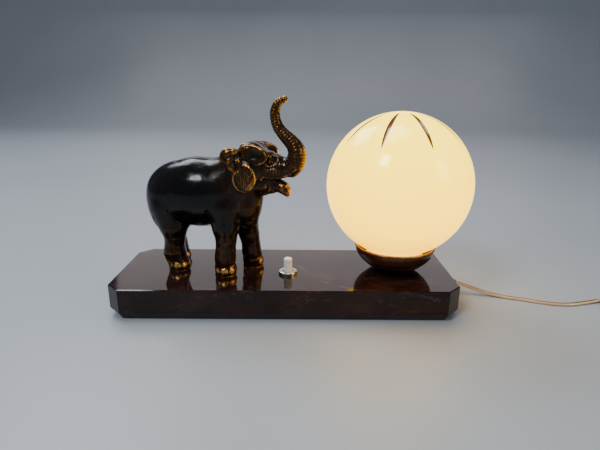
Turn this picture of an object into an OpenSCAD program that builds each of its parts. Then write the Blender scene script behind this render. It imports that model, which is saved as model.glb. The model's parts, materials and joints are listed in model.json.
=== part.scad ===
// Electric table lamp. A cast elephant and an opal ball globe stand on a marble base,
// with a push switch between them and a twin flex that leaves the right-hand end.
// Frame: origin at the middle of the resting face, +X to the globe, +Y to the back, +Z up.

/* [Marble base] */
// Depth of the base, front to back
base_w = 113; // [100:1:140]
// Thickness of the marble slab
stone_t = 30; // [25:1:40]
// Width of each clipped corner, along the edge
corner_cut = 13; // [8:1:20]
// Height of the bevel along the lower edge
bevel_h = 6.5; // [4:0.5:8]
// How far the lower bevel leans in
bevel_in = 4; // [2:0.5:6]
// Size of the arris on the upper edge
arris = 0.8; // [0.4:0.2:1.6]
// Height of the pocket under the slab that holds the wiring
pocket_h = 20; // [20:0.5:22]
// Depth of the recess under each fixing stud
stud_recess_h = 13; // [10:1:16]
// Thickness of the felt under the base
felt_t = 1; // [0.6:0.2:2]
// Felt edge to the edge of the slab's underside
felt_inset = 2; // [1:0.5:6]

/* [Layout] */
// Left end of the base to the elephant's rump
end_margin = 19; // [12:1:40]
// Trunk to globe, along X
trunk_gap = 18.5; // [12:0.5:40]
// Lamp axis to the right end of the base
lamp_inset = 54.5; // [50:0.5:75]
// Lamp axis behind the middle of the base
lamp_y = 2; // [-4:1:6]
// Middle of the elephant behind the middle of the base
figure_y = 3; // [0:1:6]
// Turn of the elephant's head end towards the front, in degrees
figure_turn = 15; // [0:1:18]
// Switch axis, along X from the middle of the elephant
switch_dx = 83; // [78:1:95]
// Switch axis in front of the middle of the base
switch_dy = 14; // [10:1:20]

/* [Elephant] */
// Height of the elephant to its trunk tip
figure_h = 170; // [150:5:210]
// Wall of the hollow casting
casting_wall = 5; // [4:0.5:7]
// Diameter of the fixing studs
stud_d = 4; // [3:0.5:5]
// How far a stud runs up into a foot
stud_grip = 12; // [8:1:14]

/* [Globe and gallery] */
// Diameter of the ball globe
globe_d = 140; // [126:1:170]
// Thickness of the globe's glass
glass_t = 3; // [2:0.5:4]
// Wall of the globe's neck
neck_wall = 2.8; // [2:0.2:3.4]
// Clear height between the gallery's rim and the ball
rim_clear = 2.7; // [2:0.1:6]
// Bead round the foot of the neck
neck_bead = 1.8; // [1:0.2:2]
// Play between the neck's bead and the gallery
seat_gap = 0.7; // [0.4:0.1:1]
// Height of the gallery
gallery_h = 26.5; // [24:0.5:32]
// Height of the ledge that carries the globe
seat_h = 12.5; // [12:0.5:14]
// Diameter of the gallery's foot
foot_d = 37.6; // [34:0.2:42]
// Gallery rim beyond the globe's neck
rim_reach = 12.2; // [11:0.2:15]
// Wall of the gallery's bowl
gallery_wall = 1.8; // [1.4:0.2:2]
// Thickness of the gallery's floor
gallery_floor = 3; // [2:0.5:4]

/* [Lampholder and bulb] */
// Outside diameter of the lampholder
holder_d = 27; // [26:0.5:30]
// Height of the lampholder's lower cap
holder_cap_h = 16; // [15:1:18]
// Diameter of the threaded lamp tube
tube_d = 10; // [9:0.5:11]
// Bore of the lamp tube
tube_bore = 6.4; // [6:0.2:6.8]
// Diameter of the bulb's screw cap
cap_d = 13.9; // [13.5:0.1:14.5]
// Radial play between screw cap and screw shell
cap_play = 0.1; // [0.06:0.02:0.1]
// Diameter of the bulb's glass
bulb_d = 45; // [37:1:54]
// Play between the bulb and the globe's neck
bulb_pass = 2.2; // [1.5:0.1:4]

/* [Push switch] */
// Diameter of the push button
button_d = 8.4; // [7:0.1:8.8]
// Height of the button above the slab
button_h = 16.2; // [13:0.1:20]
// Travel of the button
button_travel = 2.8; // [2:0.1:3]
// Radial play round the button
button_play = 0.08; // [0.04:0.01:0.1]
// Diameter of the ring nut
ring_d = 18.4; // [17:0.2:22]
// Height of the ring nut
ring_h = 3.2; // [2.6:0.2:4]
// Diameter of the threaded barrel
barrel_d = 12; // [11.8:0.1:12.6]
// Diameter of the switch housing
housing_d = 21; // [21:0.5:23]

/* [Mains lead] */
// Width of the twin flex
flex_w = 5.4; // [5:0.1:5.8]
// Thickness of the twin flex
flex_t = 2.7; // [2.4:0.1:2.9]
// Stone left between the bevel and the lead's hole
lead_lift = 0.7; // [0.5:0.1:2]
// The lead's hole behind the middle of the base
lead_y = 10; // [6:1:14]
// Diameter of the lead's hole
bush_d = 7.6; // [7.4:0.2:9]
// How far the bush stands out of the base
bush_out = 14; // [12:1:18]

/* [Hidden] */
$fn = 64;

// Shared clearances
press_play = 0.05;
drill_play = 0.4;

// Heights above the table
top_z = felt_t + stone_t;
roof_z = felt_t + pocket_h;
channel_roof_z = roof_z - 1;

// The elephant is drawn 170 high; these are its reach back and forward, turned on the base
figure_k = figure_h / 170;
figure_back = 66 * figure_k;
figure_front = 102 * figure_k;
base_l = end_margin + figure_back + figure_front + trunk_gap + globe_d / 2 + lamp_inset;
figure_x = -base_l / 2 + end_margin + figure_back;
lamp_x = base_l / 2 - lamp_inset;
switch_x = figure_x + switch_dx * figure_k;
switch_y = -switch_dy;

// Soles of the four feet: along, across
sole_near_rear = [-25.5, -11.6];
sole_near_front = [26, -13.5];
sole_far_front = [43.5, 16.6];
sole_far_rear = [-37.5, 12.7];
stud_soles = [sole_near_rear, sole_far_front];

// Globe, neck and gallery
globe_r = globe_d / 2;
neck_r = bulb_d / 2 + bulb_pass + neck_wall;
neck_bore_r = neck_r - neck_wall;
seat_r = neck_r + neck_bead + seat_gap;
seat_z = top_z + seat_h;
rim_r = neck_r + rim_reach;
globe_z = top_z + gallery_h + rim_clear + sqrt(globe_r * globe_r - rim_r * rim_r);
neck_h = globe_z - sqrt(globe_r * globe_r - neck_r * neck_r) - seat_z;
well_r = neck_bore_r - 1.7;
foot_r = foot_d / 2;

// Lampholder and bulb, upwards from the gallery's floor
holder_z = top_z + gallery_floor;
holder_r = holder_d / 2;
holder_wall = 0.8;
hub_h = 7;
sleeve_z = holder_z + holder_cap_h;
insert_z = sleeve_z - 3;
contact_z = insert_z + 6;
contact_t = 0.6;
screw_cap_h = 22;
cap_foot_z = contact_z + contact_t + 3.4;
cap_top_z = cap_foot_z + screw_cap_h;
sleeve_top_z = cap_top_z + 2;
shell_r = cap_d / 2 + cap_play;
shell_t = 0.55;
bulb_r = bulb_d / 2;
bulb_z = cap_top_z + 7.5 + bulb_r;

// Lamp tube and the nut that holds it under the slab
tube_r = tube_d / 2;
washer_t = 1;
tube_nut_t = 3.5;
tube_foot_z = roof_z - washer_t - tube_nut_t - 2.5;
tube_top_z = holder_z + hub_h + 0.5;

// Switch, downwards from the slab's roof over the pocket
barrel_flange_t = 1.8;
button_stop_z = roof_z - barrel_flange_t;
button_flange_t = 1.6;
bridge_t = 0.8;
bridge_z = button_stop_z - button_flange_t - bridge_t;
housing_h = 15.7;
housing_floor_t = 1.5;
housing_z = button_stop_z - housing_h;
contact_gap = 0.2;
contact_top_z = bridge_z - button_travel - contact_gap;
switch_terminal_y = 4.5;

// Wiring
lead_z = felt_t + bevel_h + bush_d / 2 + lead_lift;
core_d = 1.8;
core_pitch = flex_w - flex_t;
clamp_x = lamp_x + 24;
clamp_l = 8;
bush_in_x = base_l / 2 - 15;
bush_tip_x = base_l / 2 + bush_out;

// The lead's route on the table, from the bush to the coil; x counts from the base's end
lead_route = [
    [14, 10, 12], [20, 9.4, 10.6], [28, 8, 8], [38, 5.4, 5.2], [47, 2.8, 3.2],
    [56, 0, 2], [67, -4, 1.4], [78, -7.6, 1.4], [92, -13.6, 1.4], [106, -18, 1.4],
    [117, -19, 1.4], [126, -17.8, 1.4], [135, -15.4, 1.4], [146, -12.6, 1.4],
    [157, -10, 1.4], [168, -7.8, 1.8], [180, -6.2, 2.6], [191, -5.7, 3.2]
];

// The coil that the lead is put away in, and the lead's route from it to the plug
coil_at = [191, -39.5];
coil_mean_r = 29.5;
coil_turns_across = 4;
coil_pitch = flex_t + 0.2;
coil_rows = 2;
coil_row_pitch = flex_w + 0.1;
tie_t = 0.5;
tail_route = [
    [224.8, -39.5, 8.7], [225, -46, 7.4], [225, -53, 5.8], [225, -60, 4.4], [225, -66, 3.4],
    [223.3, -74.4, 3], [218.6, -81.6, 3.4], [211.4, -86.3, 4.6], [203, -88, 6.2], [196, -88, 6.8]
];

// Two-pin plug, lying flat with its pins towards -X
plug_at = [196, -88, 6.8];
plug_relief_l = 14;
plug_body_l = 35;
plug_w = 35;
plug_t = 13.6;
plug_pin_d = 4;
plug_pin_l = 19;
plug_pin_pitch = 19;

// ---------------------------------------------------------------- shared shapes

// Outline of a rectangle with clipped corners
function clipped(l, w, c) = [
    [-l / 2 + c, -w / 2], [l / 2 - c, -w / 2], [l / 2, -w / 2 + c], [l / 2, w / 2 - c],
    [l / 2 - c, w / 2], [-l / 2 + c, w / 2], [-l / 2, w / 2 - c], [-l / 2, -w / 2 + c]
];

// The same outline with every side moved in by i
function clipped_inset(l, w, c, i) = clipped(l - 2 * i, w - 2 * i, c - i * (2 - sqrt(2)));

function unit(v) = v / norm(v);

// Direction of a route at point i
function heading(route, i) =
    unit(route[min(i + 1, len(route) - 1)] - route[max(i - 1, 0)]);

// One ring of an oval section, w wide across the route and t thick, at point i
function ring(route, i, w, t, up, sides) =
    let (
        ahead = heading(route, i),
        across = unit(cross(up, ahead)),
        over = cross(ahead, across)
    )
    [for (s = [0:sides - 1])
        let (a = 360 * (s + 0.5) / sides)
        route[i] + across * (w / 2 * cos(a)) + over * (t / 2 * sin(a))];

// Solid along a route, as one polyhedron
module sweep(route, w, t, up = [0, 0, 1], sides = 8) {
    count = len(route);
    points = [for (i = [0:count - 1]) each ring(route, i, w, t, up, sides)];
    walls = [for (i = [0:count - 2], s = [0:sides - 1])
        let (n = (s + 1) % sides)
        [i * sides + s, i * sides + n, (i + 1) * sides + n, (i + 1) * sides + s]];
    first = [[for (s = [sides - 1:-1:0]) s]];
    last = [[for (s = [0:sides - 1]) (count - 1) * sides + s]];
    polyhedron(points = points, faces = concat(first, walls, last), convexity = 6);
}

// Round tube
module tube(r, bore_r, h) {
    difference() {
        cylinder(r = r, h = h);
        translate([0, 0, -1]) cylinder(r = bore_r, h = h + 2);
    }
}

// Hexagon nut; af is its width across the flats
module hex_nut(af, h, bore_r) {
    difference() {
        cylinder(r = af / sqrt(3), h = h, $fn = 6);
        translate([0, 0, -1]) cylinder(r = bore_r, h = h + 2);
    }
}

// Section of the twin flex, grown by g all round, lying flat across X
module flex_section(g = 0) {
    square([core_pitch, flex_t + 2 * g], center = true);
    for (side = [-1, 1]) translate([side * core_pitch / 2, 0]) circle(d = flex_t + 2 * g);
}

// Straight run of flex along +X
module straight_flex(l, g = 0) {
    rotate([90, 0, 90]) linear_extrude(height = l) flex_section(g);
}

module at_lamp(z = 0) {
    translate([lamp_x, lamp_y, z]) children();
}

module at_switch(z = 0) {
    translate([switch_x, switch_y, z]) children();
}

module at_figure() {
    translate([figure_x, figure_y, top_z]) rotate([0, 0, -figure_turn]) children();
}

module at_studs() {
    at_figure() for (sole = stud_soles) translate([sole.x, sole.y] * figure_k) children();
}

// ---------------------------------------------------------------- marble base

// Slab's outline at four heights: under the bevel, over it, under the arris and on top
module slab() {
    levels = [[0, bevel_in], [bevel_h, 0], [stone_t - arris, 0], [stone_t, arris]];
    n = 8;
    corners = [for (l = levels, p = clipped_inset(base_l, base_w, corner_cut, l[1])) [p.x, p.y, l[0]]];
    sides = [for (r = [0:2]) for (i = [0:n - 1]) let (j = (i + 1) % n)
        [r * n + i, (r + 1) * n + i, (r + 1) * n + j, r * n + j]];
    polyhedron(corners, concat([[for (i = [0:n - 1]) i]], sides, [[for (i = [0:n - 1]) 4 * n - 1 - i]]));
}

// Straight channel in the slab's underside between two points, shallower than the pockets it joins
module channel(from, to, w) {
    run = to - from;
    translate([from.x, from.y, -1]) rotate([0, 0, atan2(run.y, run.x)])
        translate([0, -w / 2, 0]) cube([norm(run), w, channel_roof_z - felt_t + 1]);
}

module marble_base() {
    switch_at = [switch_x, switch_y];
    lamp_at = [lamp_x, lamp_y];
    color([0.16, 0.08, 0.07]) difference() {
        translate([0, 0, felt_t]) slab();
        translate([0, 0, felt_t]) {
            translate([switch_x, switch_y, -1]) cylinder(r = housing_d / 2 + 6.5, h = pocket_h + 1);
            translate([lamp_x, lamp_y, -1]) cylinder(r = 20, h = pocket_h + 1);
            channel(switch_at, lamp_at, 14);
            channel([lamp_x, lead_y], [bush_in_x + 2, lead_y], 18);
        }
        at_lamp() cylinder(r = tube_r + drill_play / 2, h = top_z + 1);
        at_switch() cylinder(r = barrel_d / 2 + drill_play / 2, h = top_z + 1);
        at_studs() translate([0, 0, -top_z]) {
            cylinder(r = stud_d / 2 + drill_play, h = top_z + 1);
            cylinder(r = 8, h = felt_t + stud_recess_h);
        }
        translate([bush_in_x, lead_y, lead_z]) rotate([0, 90, 0]) cylinder(d = bush_d, h = 20);
        for (side = [-1, 1]) translate([clamp_x + clamp_l / 2, lead_y + side * 5.5, channel_roof_z - 1])
            cylinder(r = 1.5, h = 7);
    }
}

module felt_underlay() {
    color([0.12, 0.2, 0.13]) linear_extrude(height = felt_t)
        polygon(clipped_inset(base_l, base_w, corner_cut, bevel_in + felt_inset));
}

// ---------------------------------------------------------------- elephant

// Chain of hulled balls; each point is [along, across, up, radius]
module limb(points) {
    for (i = [0:len(points) - 2]) hull() for (p = [points[i], points[i + 1]])
        translate([p[0], p[1], p[2]]) sphere(r = p[3], $fn = 12);
}

// Ball stretched to three half-axes
module egg(at, half, grow = 0, sides = 18) {
    translate(at) scale([half.x + grow, half.y + grow, half.z + grow]) sphere(r = 1, $fn = sides);
}

// Trunk of the body; grow is negative for the hollow inside
module torso(grow = 0) {
    hull() {
        egg([-30, 0, 75], [33, 27, 32], grow);
        egg([0, 0, 78.5], [36, 31, 34.5], grow);
        egg([25, 0, 80], [28, 27, 31], grow);
    }
}

module leg(sole, hip, knee, ankle) {
    limb([hip, knee, ankle, [sole.x, sole.y, 9.8, 9.6]]);
    translate([sole.x, sole.y, 0]) {
        cylinder(r1 = 9.7, r2 = 10.6, h = 5, $fn = 20);
        translate([0, 0, 5]) cylinder(r1 = 10.6, r2 = 9.2, h = 4, $fn = 20);
    }
}

module trunk() {
    limb([
        [72, -2, 108, 13.5], [84, -3, 106.5, 9.8], [92, -4, 110, 8.6], [96.3, -5, 118, 8.3],
        [94, -5, 127, 6.8], [87, -5, 134.5, 5.8], [80, -5, 141.5, 4.9], [76.5, -5, 149, 4.4],
        [75.6, -5, 156, 3.8], [77.2, -5, 161.5, 3.4], [80, -5, 165.2, 3], [85.2, -5, 167.2, 2.8]
    ]);
}

module head() {
    hull() {
        egg([52, -1, 108], [19, 18, 21]);
        egg([64, -2, 104], [14, 15, 17]);
    }
    limb([[30, 0, 92, 26], [50, -1, 106, 19]]);
    limb([[60, -2, 90, 11], [74, -3, 90, 6.4], [83, -4, 87.5, 4], [87, -4, 84, 1.8]]);
}

// One ear, hanging back from the temple; side is -1 for the near one
module ear(side) {
    hull() for (p = [[50, 15, 120, 3], [36, 23, 121, 3.4], [31, 26, 112, 3], [57, 19, 100, 3]])
        translate([p[0], side * p[1], p[2]]) sphere(r = p[3], $fn = 12);
    hull() for (p = [[33, 25, 108, 3], [57, 19, 100, 3], [56, 21, 90, 3], [46, 24, 88, 3]])
        translate([p[0], side * p[1], p[2]]) sphere(r = p[3], $fn = 12);
}

module elephant_figure() {
    color([0.3, 0.2, 0.1]) at_figure() scale(figure_k) difference() {
        union() {
            torso();
            head();
            trunk();
            for (side = [-1, 1]) ear(side);
            leg(sole_near_rear, [-31, -10, 58, 19], [-29.5, -12, 30, 10], [-29.5, -12, 19, 9.8]);
            leg(sole_near_front, [27, -13, 62, 17], [27.5, -14, 34, 9.8], [26, -14, 19, 9.3]);
            leg(sole_far_front, [34, 12, 62, 17], [39.5, 15, 34, 10.2], [42, 16, 19, 9.3]);
            leg(sole_far_rear, [-36, 11, 58, 19], [-39, 12.5, 30, 10], [-41, 12.7, 19, 9.8]);
            limb([[-60, 0, 90, 3], [-64, 0, 78, 2.4], [-64, 0, 62, 2], [-60, 0, 46, 2.8]]);
        }
        torso(-casting_wall / figure_k);
        translate([0, 0, 30]) cylinder(r = 3, h = 30, $fn = 16);
        for (sole = stud_soles) translate([sole.x, sole.y, -1])
            cylinder(r = (stud_d / 2 + press_play) / figure_k, h = stud_grip / figure_k + 1, $fn = 32);
    }
}

module elephant_studs() {
    below = stone_t - stud_recess_h + 6;
    color("silver") at_studs() translate([0, 0, -below])
        cylinder(d = stud_d, h = below + stud_grip - 0.5);
}

module elephant_stud_washers() {
    color("silver") at_studs() translate([0, 0, stud_recess_h - stone_t - washer_t])
        tube(6.5, stud_d / 2 + press_play, washer_t);
}

module elephant_stud_nuts() {
    nut_t = 3.2;
    color("goldenrod") at_studs() translate([0, 0, stud_recess_h - stone_t - washer_t - nut_t])
        hex_nut(7, nut_t, stud_d / 2 + press_play);
}

// ---------------------------------------------------------------- gallery and globe

// Outside of the gallery: an ogee flare up to a step, then a bowl; h is the height above the foot
flare_top_h = 9.2;
bowl_foot_h = 10.4;
flare_r = foot_r + 0.5 * (rim_r - foot_r);
bowl_foot_r = foot_r + 0.58 * (rim_r - foot_r);
function flare(h) = foot_r + (flare_r - foot_r) * (1 - cos(180 * h / flare_top_h)) / 2;
bowl_h = gallery_h - bowl_foot_h;
function bowl(h) =
    bowl_foot_r + (rim_r - bowl_foot_r) * pow(sin(90 * (h - bowl_foot_h) / bowl_h), 0.72);

module gallery() {
    inner_foot_h = seat_h + 1.6;
    steps = 8;
    outside = concat(
        [for (i = [0:steps]) [flare(flare_top_h * i / steps), flare_top_h * i / steps]],
        [[bowl_foot_r, flare_top_h + 0.3]],
        [for (i = [0:steps + 2])
            let (h = bowl_foot_h + bowl_h * pow(i / (steps + 2), 1.5))
            [bowl(h), h]]
    );
    inside = concat(
        [for (i = [steps:-1:0]) let (h = inner_foot_h + (gallery_h - inner_foot_h) * i / steps)
            [max(bowl(h) - gallery_wall, seat_r), h]],
        [[seat_r, seat_h], [well_r, seat_h], [well_r, gallery_floor + 4],
            [holder_r + 2, gallery_floor], [tube_r + press_play, gallery_floor],
            [tube_r + press_play, 0]]
    );
    color([0.22, 0.12, 0.07]) at_lamp(top_z) rotate_extrude() polygon(concat(outside, inside));
}

module globe() {
    bead_h = 2.4;
    color([1, 0.93, 0.72]) at_lamp() difference() {
        union() {
            translate([0, 0, globe_z]) sphere(r = globe_r, $fn = 128);
            translate([0, 0, seat_z]) cylinder(r = neck_r, h = neck_h + 8);
            translate([0, 0, seat_z]) cylinder(r = neck_r + neck_bead, h = bead_h);
        }
        translate([0, 0, globe_z]) sphere(r = globe_r - glass_t, $fn = 128);
        translate([0, 0, seat_z - 1]) cylinder(r = neck_bore_r, h = globe_z - seat_z);
    }
}

// ---------------------------------------------------------------- lampholder

module lamp_tube() {
    color("goldenrod") at_lamp(tube_foot_z) tube(tube_r, tube_bore / 2, tube_top_z - tube_foot_z);
}

module lamp_tube_washer() {
    color("silver") at_lamp(roof_z - washer_t) tube(12, tube_r + press_play, washer_t);
}

module lamp_tube_nut() {
    color("goldenrod") at_lamp(roof_z - washer_t - tube_nut_t)
        hex_nut(14, tube_nut_t, tube_r + press_play);
}

module lampholder_cap() {
    hub_r = tube_r + 2;
    shelf_h = insert_z - holder_z;
    bore_r = holder_r - holder_wall;
    color("goldenrod") at_lamp(holder_z) rotate_extrude() polygon([
        [tube_r + press_play, 0], [holder_r - 2, 0], [holder_r, 2], [holder_r, holder_cap_h],
        [bore_r, holder_cap_h], [bore_r, shelf_h], [bore_r - 1, shelf_h], [bore_r - 1, shelf_h - 1],
        [bore_r, shelf_h - 2], [bore_r, 3], [holder_r - 2.4, 1.2], [hub_r, 1.2], [hub_r, hub_h],
        [tube_r + press_play, hub_h]
    ]);
}

module lampholder_sleeve() {
    h = sleeve_top_z - sleeve_z;
    bore_r = holder_r - holder_wall;
    color("goldenrod") at_lamp(sleeve_z) rotate_extrude() polygon([
        [bore_r, 0], [holder_r, 0], [holder_r, 4], [holder_r + 0.6, 4.6], [holder_r + 0.6, 5.4],
        [holder_r, 6], [holder_r, h - 1.5], [holder_r - 1, h], [bore_r - 1.4, h],
        [bore_r - 1.4, h - 1], [bore_r, h - 1.8]
    ]);
}

module lampholder_insert() {
    outer_r = holder_r - holder_wall - 0.2;
    shell_outer_r = shell_r + shell_t + press_play;
    color("ivory") at_lamp() difference() {
        translate([0, 0, insert_z]) cylinder(r = outer_r, h = cap_top_z - insert_z);
        translate([0, 0, contact_z]) cylinder(r = shell_outer_r, h = screw_cap_h + 8);
        translate([0, 0, insert_z - 1]) cylinder(r = 1 + press_play, h = 9);
    }
}

module screw_shell() {
    color("gold") at_lamp(contact_z) tube(shell_r + shell_t, shell_r, cap_top_z - contact_z);
}

module centre_contact() {
    color("orange") at_lamp() {
        translate([0, 0, contact_z]) cylinder(r = 3.2, h = contact_t);
        translate([0, 0, insert_z - 1]) cylinder(r = 1, h = contact_z - insert_z + 1);
    }
}

terminal_x = 9.2;
terminal_h = 4;
module lampholder_terminals() {
    color("gold") for (side = [-1, 1]) at_lamp(insert_z - terminal_h)
        translate([side * terminal_x - 2, -2.5, 0]) difference() {
            cube([4, 5, terminal_h]);
            translate([-1, 2.5, 2]) rotate([0, 90, 0]) cylinder(d = core_d + 2 * press_play, h = 6);
        }
}

// ---------------------------------------------------------------- bulb

module bulb_form(grow) {
    neck_top = bulb_z - 0.82 * bulb_r;
    translate([0, 0, bulb_z]) sphere(r = bulb_r + grow);
    translate([0, 0, cap_top_z + 2])
        cylinder(r1 = 6.2 + grow, r2 = 0.57 * bulb_r + grow, h = neck_top - cap_top_z - 2);
    translate([0, 0, cap_top_z - 2]) cylinder(r = 6.2 + grow, h = 4.5);
}

module bulb_glass() {
    color([0.95, 0.95, 0.9]) at_lamp() difference() {
        bulb_form(0);
        bulb_form(-0.8);
        translate([0, 0, cap_top_z - 3]) cylinder(r = 5.4, h = 3);
    }
}

module bulb_screw_cap() {
    bore_r = 6.2 + press_play;
    color("silver") at_lamp(cap_foot_z) rotate_extrude() polygon([
        [4.6, 0], [cap_d / 2 - 0.6, 0], [cap_d / 2, 1], [cap_d / 2, screw_cap_h],
        [bore_r, screw_cap_h], [bore_r, 1.2], [4.6, 1]
    ]);
}

module bulb_cap_insulator() {
    color([0.1, 0.1, 0.12]) at_lamp(cap_foot_z - 2.4) difference() {
        union() {
            cylinder(r1 = 3.4, r2 = 4.55, h = 2.4);
            translate([0, 0, 2.4]) cylinder(r = 4.55, h = 1);
        }
        translate([0, 0, -1]) cylinder(r = 1.2, h = 6);
    }
}

module bulb_tip() {
    color("silver") at_lamp(contact_z + contact_t) {
        cylinder(r1 = 2, r2 = 2.6, h = 1);
        cylinder(r = 1.15, h = 4);
    }
}

stem_top_z = bulb_z - 8;
module bulb_stem() {
    color("lightblue") at_lamp() {
        translate([0, 0, cap_top_z - 2]) cylinder(r = 5.4, h = 1);
        translate([0, 0, cap_top_z - 1]) cylinder(r1 = 5.4, r2 = 2.4, h = 8);
        translate([0, 0, cap_top_z + 7]) cylinder(r = 1.6, h = stem_top_z - cap_top_z - 7);
    }
}

// One wire: up from the stem, round a ring and back down to the stem
module bulb_filament() {
    wire_d = 0.5;
    ring_r = 8;
    ring_h = 10;
    loop = [for (a = [15:30:345]) [ring_r * cos(a), ring_r * sin(a), ring_h]];
    color("dimgray") at_lamp(stem_top_z) sweep(concat(
        [[0.9, 0.6, 0], [1.2, 0.8, 2], [ring_r - 1, 1.4, ring_h - 0.8]], loop,
        [[ring_r - 1, -1.4, ring_h - 0.8], [1.2, -0.8, 2], [0.9, -0.6, 0]]
    ), wire_d, wire_d, up = [0.1, 0.3, 1], sides = 6);
}

// ---------------------------------------------------------------- push switch

button_r = button_d / 2;
barrel_r = barrel_d / 2;
barrel_lip_h = ring_h - 0.6;
recess_r = button_r + 1.1;

module switch_barrel() {
    lip_z = top_z - button_stop_z + barrel_lip_h;
    color("silver") at_switch(button_stop_z) rotate_extrude() polygon([
        [button_r + button_play, 0], [10, 0], [10, barrel_flange_t], [barrel_r, barrel_flange_t],
        [barrel_r, lip_z], [recess_r, lip_z], [recess_r, lip_z - 2], [button_r + button_play, lip_z - 2]
    ]);
}

module switch_ring_nut() {
    ring_r = ring_d / 2;
    bore_r = barrel_r + press_play;
    color([0.8, 0.75, 0.6]) at_switch(top_z) rotate_extrude() polygon([
        [bore_r, 0], [ring_r, 0], [ring_r, ring_h - 1], [ring_r - 0.3, ring_h - 0.3], [ring_r - 1, ring_h],
        [recess_r + 0.4, ring_h], [recess_r, ring_h - 0.4], [bore_r, barrel_lip_h]
    ]);
}

module switch_button() {
    rest_h = top_z + button_h - button_stop_z;
    dome = 1.4;
    color("white") at_switch(button_stop_z) rotate_extrude() polygon(concat(
        [[0, -button_flange_t - 1.8], [2.4, -button_flange_t - 1.8], [2.4, -button_flange_t],
            [6.2, -button_flange_t], [6.2, 0], [button_r, 0]],
        [for (a = [0:15:90]) [button_r - dome + dome * cos(a), rest_h - dome + dome * sin(a)]],
        [[0, rest_h]]
    ));
}

module switch_bridge() {
    color("orange") at_switch(bridge_z) tube(8, 2.4 + press_play, bridge_t);
}

module switch_spring() {
    wire_d = 0.7;
    turns = 5;
    steps = 12;
    low = housing_z + housing_floor_t + wire_d / 2;
    rise = bridge_z - wire_d / 2 - low;
    helix = [for (i = [0:turns * steps])
        [4.2 * cos(360 * i / steps), 4.2 * sin(360 * i / steps), rise * i / (turns * steps)]];
    color("gray") at_switch(low) sweep(helix, wire_d, wire_d, sides = 6);
}

// The two fixed contacts, each with its terminal block outside the housing
module contact_pair(grow = 0) {
    for (side = [-1, 1]) translate([0, side * switch_terminal_y, 0]) {
        translate([5.5, -2 - grow, contact_top_z - 0.8 - grow]) cube([9.3, 4 + 2 * grow, 0.8 + 2 * grow]);
        translate([housing_d / 2 + 0.3, -2.2, contact_top_z - 7]) cube([4, 4.4, 7]);
    }
}

module switch_housing() {
    color([0.12, 0.07, 0.05]) at_switch(housing_z) difference() {
        tube(housing_d / 2, housing_d / 2 - 1.9, housing_h);
        translate([0, 0, -housing_z]) contact_pair(press_play);
    }
    color([0.12, 0.07, 0.05]) at_switch(housing_z) cylinder(r = housing_d / 2 - 1.9, h = housing_floor_t);
}

wire_hole_h = 3.5;
module switch_contacts() {
    color("gold") at_switch() difference() {
        contact_pair();
        for (side = [-1, 1])
            translate([housing_d / 2, side * switch_terminal_y, contact_top_z - 7 + wire_hole_h])
                rotate([0, 90, 0]) cylinder(d = core_d + 2 * press_play, h = 6);
    }
}

// ---------------------------------------------------------------- wiring in the base

module lead_bush() {
    inside = base_l / 2 - bush_in_x;
    flange_t = 1.5;
    color([0.15, 0.12, 0.1]) translate([0, lead_y, lead_z]) difference() {
        union() {
            translate([bush_in_x, 0, 0]) rotate([0, 90, 0]) cylinder(d = bush_d, h = inside);
            translate([base_l / 2, 0, 0]) rotate([0, 90, 0]) cylinder(r = bush_d / 2 + 1.6, h = flange_t);
            translate([base_l / 2 + flange_t, 0, 0]) rotate([0, 90, 0])
                cylinder(r1 = bush_d / 2 + 0.2, r2 = flex_w / 2 + 0.6, h = bush_out - flange_t);
        }
        translate([bush_in_x - 1, 0, 0]) straight_flex(inside + bush_out + 2, press_play);
    }
}

module lead_clamp() {
    color([0.1, 0.08, 0.07]) difference() {
        translate([clamp_x, lead_y - 8, lead_z - 4]) cube([clamp_l, 16, channel_roof_z - lead_z + 4]);
        translate([clamp_x - 1, lead_y, lead_z]) straight_flex(clamp_l + 2, press_play);
        for (side = [-1, 1]) translate([clamp_x + clamp_l / 2, lead_y + side * 5.5, 0])
            cylinder(r = 1.5 + press_play, h = channel_roof_z + 1);
    }
}

module lead_clamp_screws() {
    color("silver") for (side = [-1, 1]) translate([clamp_x + clamp_l / 2, lead_y + side * 5.5, 0]) {
        translate([0, 0, lead_z - 6]) cylinder(r = 2.4, h = 2);
        translate([0, 0, lead_z - 4]) cylinder(r = 1.45, h = channel_roof_z - lead_z + 9.5);
    }
}

module inner_flex() {
    color("khaki") translate([clamp_x - 4, lead_y, lead_z]) straight_flex(bush_tip_x - clamp_x + 4);
}

// Wire ends: where the flex divides, in the two terminals and in the lamp tube
split = [clamp_x - 4, lead_y, lead_z];
live_split = split + [0, -core_pitch / 2, 0];
neutral_split = split + [0, core_pitch / 2, 0];
tube_entry = [lamp_x, lamp_y, tube_foot_z];
holder_end_z = insert_z - terminal_h + 2;
switch_wire_z = contact_top_z - 7 + wire_hole_h;
function switch_end(side) =
    [switch_x + housing_d / 2 + 2, switch_y + side * switch_terminal_y, switch_wire_z];

// Point in the channel between the switch (u 0) and the lamp (u 1), off to one side, at height z
function in_channel(u, off, z) =
    [switch_x + u * (lamp_x - switch_x), switch_y + u * (lamp_y - switch_y) + off, z];

module core_wire(route) {
    sweep(route, core_d, core_d, up = [0, 1, 0], sides = 8);
}

// Up the lamp tube and out to one terminal; side is -1 or 1
function up_tube(side) = [
    tube_entry + [side * 1.3, 0, 0],
    [tube_entry.x + side * 1.3, lamp_y, tube_top_z],
    [tube_entry.x + side * 2, lamp_y, holder_end_z - 1.2],
    [tube_entry.x + side * 4, lamp_y, holder_end_z],
    [tube_entry.x + side * (terminal_x + 1), lamp_y, holder_end_z]
];

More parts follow.
